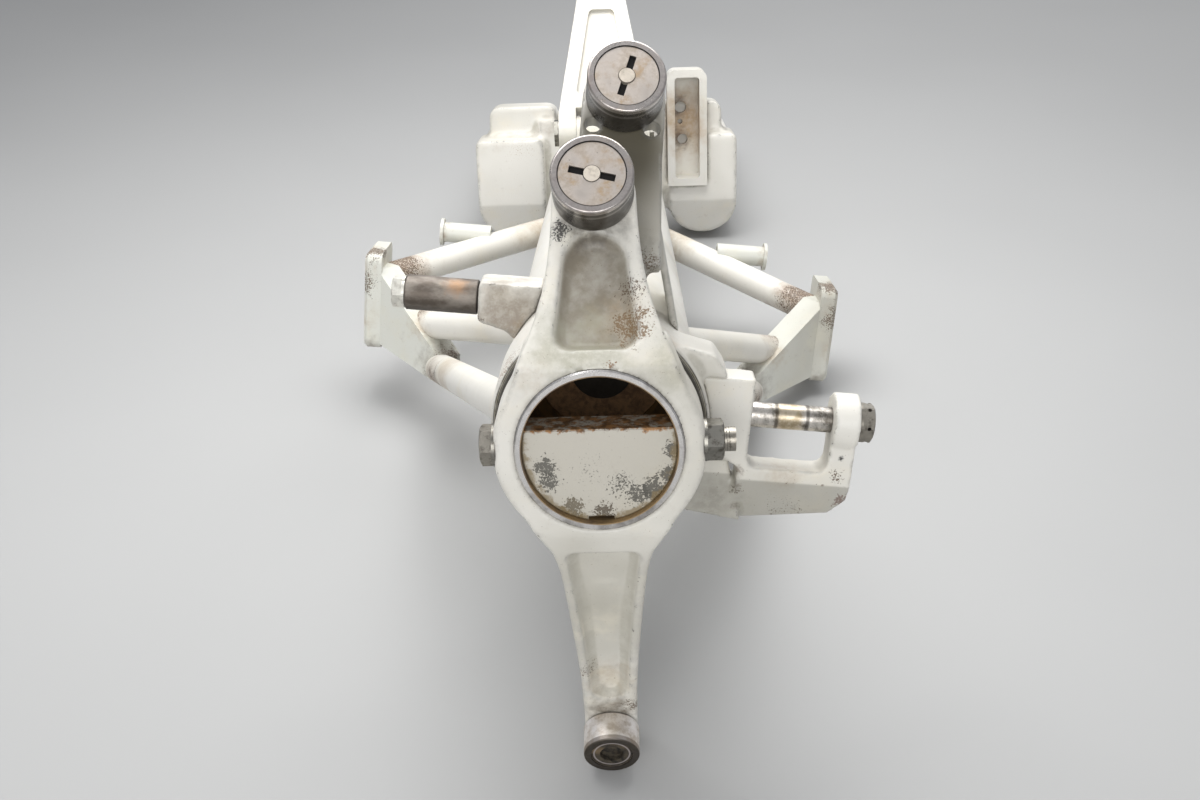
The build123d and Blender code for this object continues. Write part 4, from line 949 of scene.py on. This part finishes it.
class GEAR_OT_steering_arm(bpy.types.Operator):
    """Forge the steering arm: soft edges, blended roots and enamel worn along its edges"""

    bl_idname = "gear.steering_arm"
    bl_label = "Steering arm"

    def execute(self, context):
        forging = context.scene.gear_forging
        paint = context.scene.gear_paint
        arm = copy_of("steering_arm", "forged_steering_arm")
        holds = (
            hold_bore(TOP_CENTRE, TO_TOP, HUB_BORE, 1.6 * MM),
            hold_seat(*roller_of("steer")),
            hold_seat(*roller_of("lower")),
        )
        soften(arm, forging.voxel, forging.edge_rounds, forging.root_rounds, holds)
        stains = spots(
            steered,
            (0, 80, 36, 0.019, GREASE, 0.75),
            (8, 50, 14, 0.016, TAN, 0.45),
            # The next two khaki marks darken the hub's upward-tilted face round the ring: painted shade.
            (-6, 40, 1, 0.030, linear(0.62, 0.61, 0.53), 0.7),
            (30, 32, 1, 0.020, linear(0.62, 0.61, 0.53), 0.5),
            (-25, 30, 3, 0.010, TAN, 0.25),
            (0, -149, 54, 0.017, linear(0.36, 0.32, 0.26), 0.85),
            (0, -128, 44, 0.018, TAN, 0.4),
        )
        flecks = spots(
            steered,
            (13, 46, 12, 0.015, linear(0.47, 0.37, 0.25), 0.26),
            (13, 58, 21, 0.010, BROWN, 0.22),
            (5, 34, 1, 0.004, RUST, 0.22),
            (-14, 79, 34, 0.008, BLACK, 0.30),
            (10, -145, 52, 0.008, BROWN, 0.24),
            (-9, -120, 41, 0.012, BROWN, 0.16),
        )
        slope = radians(38.0)
        outward = TO_TOP * cos(slope) + UP * sin(slope)
        pocket = (steered(0, 33, 0.8), outward, 0.056, 0.0182)
        finish = enamel("forging_enamel", paint.cream, paint.shade, stains, flecks, pocket, forged=True)
        finished(arm, "steering", finish, ("steering_arm",))
        return {"FINISHED"}


class GEAR_OT_castings(bpy.types.Operator):
    """Soften the collar, clevis lug, uplock lug, guide arm and fork, and paint them"""

    bl_idname = "gear.castings"
    bl_label = "Collar, lugs, guide arm and fork"

    def execute(self, context):
        bush_low, bush_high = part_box("upper_steering_bush")
        bush = (bush_high[0] - bush_low[0]) / 2
        centre, axis = roller_of("guide")
        across = axis.cross(TRUNNION_RIGHT)
        guide_holds = [hold_seat(centre, axis)]
        for side in (-1, 1):
            hole = centre + (TRUNNION_RIGHT * 12.0 * side - across * 12.8) * MM
            guide_holds.append(hold_bore(hole, axis, GUIDE_HOLE))
        axle = next(mount for mount in frame["record"]["mounts"] if mount["name"] == "axle_bores")
        fork_holds = (hold_bore(Vector(axle["pos_m"]), Vector(axle["axis"]), AXLE_BORE, 1.4 * MM),)
        self.cast(
            "upper_collar",
            (1.1, 5, 40, (hold_bore(TOP_CENTRE, TO_TOP, bush, 1.2 * MM),)),
            ((20, 38, 34, 0.014, TAN, 0.5), (-44, -10, 36, 0.018, TAN, 0.6)),
            ((-40, 20, 36, 0.014, RUST, 0.2), (46, -30, 40, 0.012, BROWN, 0.2)),
            more=self.gap_shade_and_grease,
        )
        self.cast(
            "clevis_lug",
            (0.8, 3, 30, ()),
            (
                (57.5, -18, 37, 0.0035, BROWN, 0.8),
                (58, -25, 38, 0.0028, BROWN, 0.8),
                (59, -36, 43, 0.0030, BROWN, 0.8),
                (76, -18, 37, 0.012, TAN, 0.4),
                (50, -34, 42, 0.014, GREASE, 0.35),
                (99, -9, 36, 0.0016, BLACK, 1.0),
            ),
            (
                (104, -30, 39, 0.0075, linear(0.50, 0.37, 0.34), 0.34),
                (98, -17, 36, 0.005, BROWN, 0.22),
                (80, -42, 45, 0.020, BROWN, 0.13),
                (58, -28, 39, 0.005, BROWN, 0.22),
            ),
            more=self.crease,
        )
        self.cast(
            "uplock_lug",
            (0.9, 6, 40, ()),
            # The first mark greys the lug's whole front face: painted shade, as its top stays lighter.
            ((-44, 26, 86, 0.028, linear(0.53, 0.48, 0.42), 0.85), (-36, 20, 90, 0.010, TAN, 0.5)),
            ((-55, 22, 87, 0.005, BROWN, 0.2),),
        )
        self.cast(
            "guide_arm",
            (0.9, 6, 40, guide_holds),
            ((10, 62, 50, 0.016, GREASE, 0.4),),
            ((14, 62, 50, 0.010, BROWN, 0.2),),
            # tone darkens the whole guide arm, and the wash below its roller is old lubricant and painted
            # shadow.
            tone=0.72,
            more=self.oil_and_painted_shadow,
        )
        self.cast(
            "fork",
            (1.6, 8, 50, fork_holds),
            ((-40, 50, 612, 0.03, TAN, 0.45), (-86, 40, 612, 0.02, TAN, 0.3)),
            ((-70, 30, 616, 0.03, TAN, 0.1),),
            "piston",
        )
        return {"FINISHED"}

    def gap_shade_and_grease(self, finish):
        """The collar's front face round the hub: painted shade of the gap behind the hub, with grease, and
        worn rings where the hub turns on it.
        """
        place = finish.about(TOP_CENTRE, TO_TOP)
        ring = finish.radius(place)
        front = finish.band(finish.part(place, "Z"), -0.0324, -0.0314)
        lines = finish.band(finish.rings(ring, 1900.0), 0.58, 0.72)
        dark = finish.mix(lines, linear(0.20, 0.18, 0.14), linear(0.60, 0.57, 0.49))
        # Dark ring on the collar's face: painted shade of the gap, and grease.
        finish.over(dark, front, finish.below(ring, 0.0426, 0.0432))

    def crease(self, finish):
        """Painted shade and dirt on the clevis lug's downward lower face, and chips along the crease above
        it.
        """
        up = finish.part(finish.about(TOP_CENTRE, TO_TOP, TRUNNION_UP), "X")
        # The face below the crease faces down; darkening it is painted shade, with some dirt.
        low = finish.band(up, -0.0222, -0.0210, 0.45, 0.0)
        finish.over(linear(0.44, 0.43, 0.39), low)
        chips = finish.band(finish.noise(420.0, detail=6.0, rough=0.7), 0.60, 0.64, 0.0, 0.8)
        finish.over(BROWN, finish.below(finish.apart(up, -0.0216), 0.0003, 0.0008), chips)

    def oil_and_painted_shadow(self, finish):
        """Old lubricant and the roller's painted shadow below the guide roller, thinning out downwards."""
        oil_and_shadow_tint = linear(0.32, 0.295, 0.22)
        for centre, reach, amount in spots(on_trunnion, (0, 104, 74, 0.034, 0.92), (2, 80, 60, 0.030, 0.6)):
            finish.over(oil_and_shadow_tint, finish.near(centre, reach, 0.7), amount)

    def cast(self, node, shape, stains, flecks, body="trunnion", tone=1.0, more=None):
        """Soften one casting by its mesh size in millimetres, rounds and holds, and paint it."""
        paint = bpy.context.scene.gear_paint
        voxel, edge_rounds, root_rounds, holds = shape
        piece = copy_of(node, f"cast_{node}")
        soften(piece, voxel * MM, edge_rounds, root_rounds, holds)
        place = on_trunnion if body == "trunnion" else steered
        marks = spots(place, *stains), spots(place, *flecks)
        main = scaled(paint.cream, tone)
        finish = enamel(f"{node}_enamel", main, paint.shade, *marks, forged=True, more=more)
        finished(piece, body, finish, (node,))


class GEAR_OT_weld_beads(bpy.types.Operator):
    """Lay a rippled weld bead where each truss tube runs into the housing or its collar"""

    bl_idname = "gear.weld_beads"
    bl_label = "Weld beads"

    def execute(self, context):
        detail = context.scene.gear_detail
        paint = context.scene.gear_paint
        runs = {
            "upper_tube": ((146, -40.9, 389.8), (22, -13.7, 492.5)),
            "lower_tube": ((146, -72.5, 398), (3, -25.5, 243)),
            "diagonal_tube": ((101, -86, 346), (21.7, -4.1, 35.3)),
        }
        finish = enamel("weld_enamel", paint.cream, paint.shade, grime=0.7, grain=0.6)
        for hand, side in HANDS:
            for tube, (start, end) in runs.items():
                first = on_trunnion(start[0] * side, start[1], start[2])
                last = on_trunnion(end[0] * side, end[1], end[2])
                bead = self.bead(f"{hand}_{tube}_weld", first, last, detail)
                finished(bead, "trunnion", finish)
        return {"FINISHED"}

    def bead(self, name, start, end, detail):
        """A closed bead round a tube of 19 mm, where it runs into the housing or the collar."""
        targets = [frame["nodes"][node] for node in ("housing_tube", "upper_collar")]
        axis = end - start
        turn = turned_to(axis, TO_TOP)
        bpy.ops.object.select_all(action="DESELECT")
        bpy.ops.mesh.primitive_circle_add(vertices=56, radius=WELD_LOOP)
        loop = rename(bpy.context.object, name)
        settle(loop, turn, end - axis.normalized() * 75 * MM)
        direction = axis.normalized()
        reached = {}
        for vertex in loop.data.vertices:
            casts = [target.ray_cast(vertex.co, direction) for target in targets]
            spots = [(spot - vertex.co).length for hit, spot, normal, index in casts if hit]
            if spots:
                reached[vertex.index] = min(spots)
        if len(reached) < 20:
            raise RuntimeError(f"{name} doesn't reach the housing")
        count = len(loop.data.vertices)
        ways = np.interp(range(count), list(reached), list(reached.values()), period=count)
        for vertex, way in zip(loop.data.vertices, ways):
            vertex.co += direction * way
        bpy.ops.object.convert(target="CURVE")
        curve = bpy.context.object
        curve.data.bevel_depth = detail.bead
        curve.data.bevel_resolution = 3
        bpy.ops.object.convert(target="MESH")
        bead = bpy.context.object
        outwards(bead)
        apply(bead, "SUBSURF", levels=1, render_levels=1)
        ripple = bpy.data.textures.get("weld_ripple") or bpy.data.textures.new("weld_ripple", "CLOUDS")
        ripple.noise_scale = 0.004
        height = detail.ripple * 2
        apply(bead, "DISPLACE", texture=ripple, texture_coords="GLOBAL", strength=height, mid_level=0.5)
        alone(bead)
        bpy.ops.object.shade_smooth()
        return bead


class GEAR_OT_threads(bpy.types.Operator):
    """Cut thread crests on the end of the cross bolt"""

    bl_idname = "gear.threads"
    bl_label = "Threads"

    def execute(self, context):
        detail = context.scene.gear_detail
        bolt_low, bolt_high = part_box("cross_bolt")
        nut_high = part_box("cross_bolt_nut")[1].x
        centre = Vector((nut_high, (bolt_low.y + bolt_high.y) / 2, (bolt_low.z + bolt_high.z) / 2))
        piece = self.crests("cross_bolt_thread", bolt_high.x - nut_high - 0.4 * MM, CROSS_BOLT, detail)
        settle(piece, turned_to(RIGHT, UP), centre)
        finish = plain_metal("thread_steel", linear(0.46, 0.44, 0.41), 0.4, grime=BLACK, amount=0.6)
        finished(piece, "steering", finish)
        return {"FINISHED"}

    def crests(self, name, length, radius, detail):
        """A closed screw of crests up the z axis."""
        bpy.ops.object.select_all(action="DESELECT")
        bpy.ops.mesh.primitive_circle_add(vertices=3, radius=detail.pitch * 0.5)
        piece = rename(bpy.context.object, name)
        edit_all()
        bpy.ops.transform.rotate(value=radians(90), orient_axis="X", center_override=(0, 0, 0))
        bpy.ops.transform.translate(value=(radius - detail.pitch * 0.32, 0, detail.pitch * 0.5))
        bpy.ops.object.mode_set(mode="OBJECT")
        turns = max(2, int(length / detail.pitch) - 1)
        steps = {"iterations": turns, "steps": 28, "render_steps": 28}
        apply(piece, "SCREW", axis="Z", angle=2 * pi, screw_offset=detail.pitch, **steps)
        bpy.ops.object.mode_set(mode="EDIT")
        bpy.ops.mesh.select_all(action="DESELECT")
        bpy.ops.mesh.select_mode(type="EDGE")
        bpy.ops.mesh.select_non_manifold()
        bpy.ops.mesh.fill()
        bpy.ops.object.mode_set(mode="OBJECT")
        outwards(piece)
        return piece


class GEAR_OT_stage(bpy.types.Operator):
    """Set the floor, the soft lights and the camera"""

    bl_idname = "gear.stage"
    bl_label = "Stage"

    def execute(self, context):
        stage = context.scene.gear_stage
        scene = context.scene
        floor_height = cad_box[0][2]
        bpy.ops.object.select_all(action="DESELECT")
        bpy.ops.mesh.primitive_plane_add(size=60, location=(0, 0, floor_height))
        floor = rename(bpy.context.object, "floor")
        bpy.ops.object.transform_apply(location=True, rotation=True, scale=True)
        pale = Finish("pale_floor")
        tone = rgb(stage.floor)
        cloud = pale.noise(3.0, detail=2.0)
        pale.colour = pale.mix(pale.band(cloud, 0.3, 0.7), tone, scaled(tone, 0.97))
        floor.data.materials.append(pale.surface(0.75))
        centre = TOP_CENTRE + Vector((0, 0.25, 0))
        for name, place, size, power in (
            ("key_light", (-0.12, 0.06, 0.92), (0.9, 0.7), stage.key),
            ("back_light", (0.5, 1.5, 1.0), (1.2, 0.6), stage.key * 0.75),
            ("bench_light", (0.05, 0.02, 0.62), (0.5, 0.35), stage.key * 0.18),
            ("fill_light", (-0.2, -2.3, 0.85), (1.8, 1.2), stage.fill),
        ):
            bpy.ops.object.light_add(type="AREA", location=place)
            light = rename(bpy.context.object, name)
            light.data.shape = "RECTANGLE"
            light.data.size, light.data.size_y = size
            light.data.energy = power
            aim = centre - Vector(place)
            light.rotation_euler = aim.to_track_quat("-Z", "Y").to_euler()
        world = bpy.data.worlds.new("room")
        world.use_nodes = True
        sky = world.node_tree.nodes["Background"]
        sky.inputs["Color"].default_value = (0.93, 0.95, 1.0, 1.0)
        sky.inputs["Strength"].default_value = stage.sky
        scene.world = world
        self.camera(scene, stage)
        scene.view_settings.view_transform = "Standard"
        return {"FINISHED"}

    def camera(self, scene, stage):
        """The photograph's view: from in front of the ring and above it, looking down the strut."""
        nod, yaw, roll = radians(19.2), radians(1.11), radians(1.5)
        level = -TO_TOP * cos(nod) - UP * sin(nod)
        down = -UP * cos(nod) + TO_TOP * sin(nod)
        forward = level * cos(yaw) - RIGHT * sin(yaw)
        across = RIGHT * cos(yaw) + level * sin(yaw)
        right = across * cos(roll) + down * sin(roll)
        down = down * cos(roll) - across * sin(roll)
        place = TOP_CENTRE + (RIGHT * 10.25 + UP * 180.0 + TO_TOP * 457.1) * MM
        bpy.ops.object.camera_add()
        camera = bpy.context.object
        camera.name = "camera"
        turn = Matrix((right, -down, -forward)).transposed()
        camera.matrix_world = Matrix.Translation(place) @ turn.to_4x4()
        camera.data.lens = stage.lens
        camera.data.sensor_width = 36.0
        camera.data.sensor_fit = "HORIZONTAL"
        camera.data.clip_start = 0.01
        scene.camera = camera


class GEAR_PT_sidebar(bpy.types.Panel):
    """Pieces, finishes and stage of the nose gear strut"""

    bl_idname = "GEAR_PT_sidebar"
    bl_label = "Nose Gear Strut"
    bl_space_type = "VIEW_3D"
    bl_region_type = "UI"
    bl_category = "Nose Gear"

    def draw(self, context):
        layout = self.layout
        for group, operators in (
            ("gear_paint", ("gear.enamel", "gear.end_plug")),
            ("gear_forging", ("gear.steering_arm", "gear.castings")),
            ("gear_detail", ("gear.steel", "gear.weld_beads", "gear.threads")),
            ("gear_stage", ("gear.stage",)),
        ):
            settings = getattr(context.scene, group)
            box = layout.box()
            for key in settings.__annotations__:
                box.prop(settings, key)
            for name in operators:
                box.operator(name)


classes = (
    GearPaint,
    GearForging,
    GearDetail,
    GearStage,
    GEAR_OT_enamel,
    GEAR_OT_steel,
    GEAR_OT_end_plug,
    GEAR_OT_steering_arm,
    GEAR_OT_castings,
    GEAR_OT_weld_beads,
    GEAR_OT_threads,
    GEAR_OT_stage,
    GEAR_PT_sidebar,
)
groups = {
    "gear_paint": GearPaint,
    "gear_forging": GearForging,
    "gear_detail": GearDetail,
    "gear_stage": GearStage,
}


def register():
    for item in classes:
        bpy.utils.register_class(item)
    for name, group in groups.items():
        setattr(bpy.types.Scene, name, PointerProperty(type=group))


def unregister():
    for name in groups:
        delattr(bpy.types.Scene, name)
    for item in reversed(classes):
        bpy.utils.unregister_class(item)


def main():
    register()
    bpy.ops.gear.stage()
    bpy.ops.gear.enamel()
    bpy.ops.gear.steel()
    bpy.ops.gear.end_plug()
    bpy.ops.gear.steering_arm()
    bpy.ops.gear.weld_beads()
    bpy.ops.gear.castings()
    bpy.ops.gear.threads()
    bpy.context.view_layer.update()


if __name__ == "__main__":
    main()
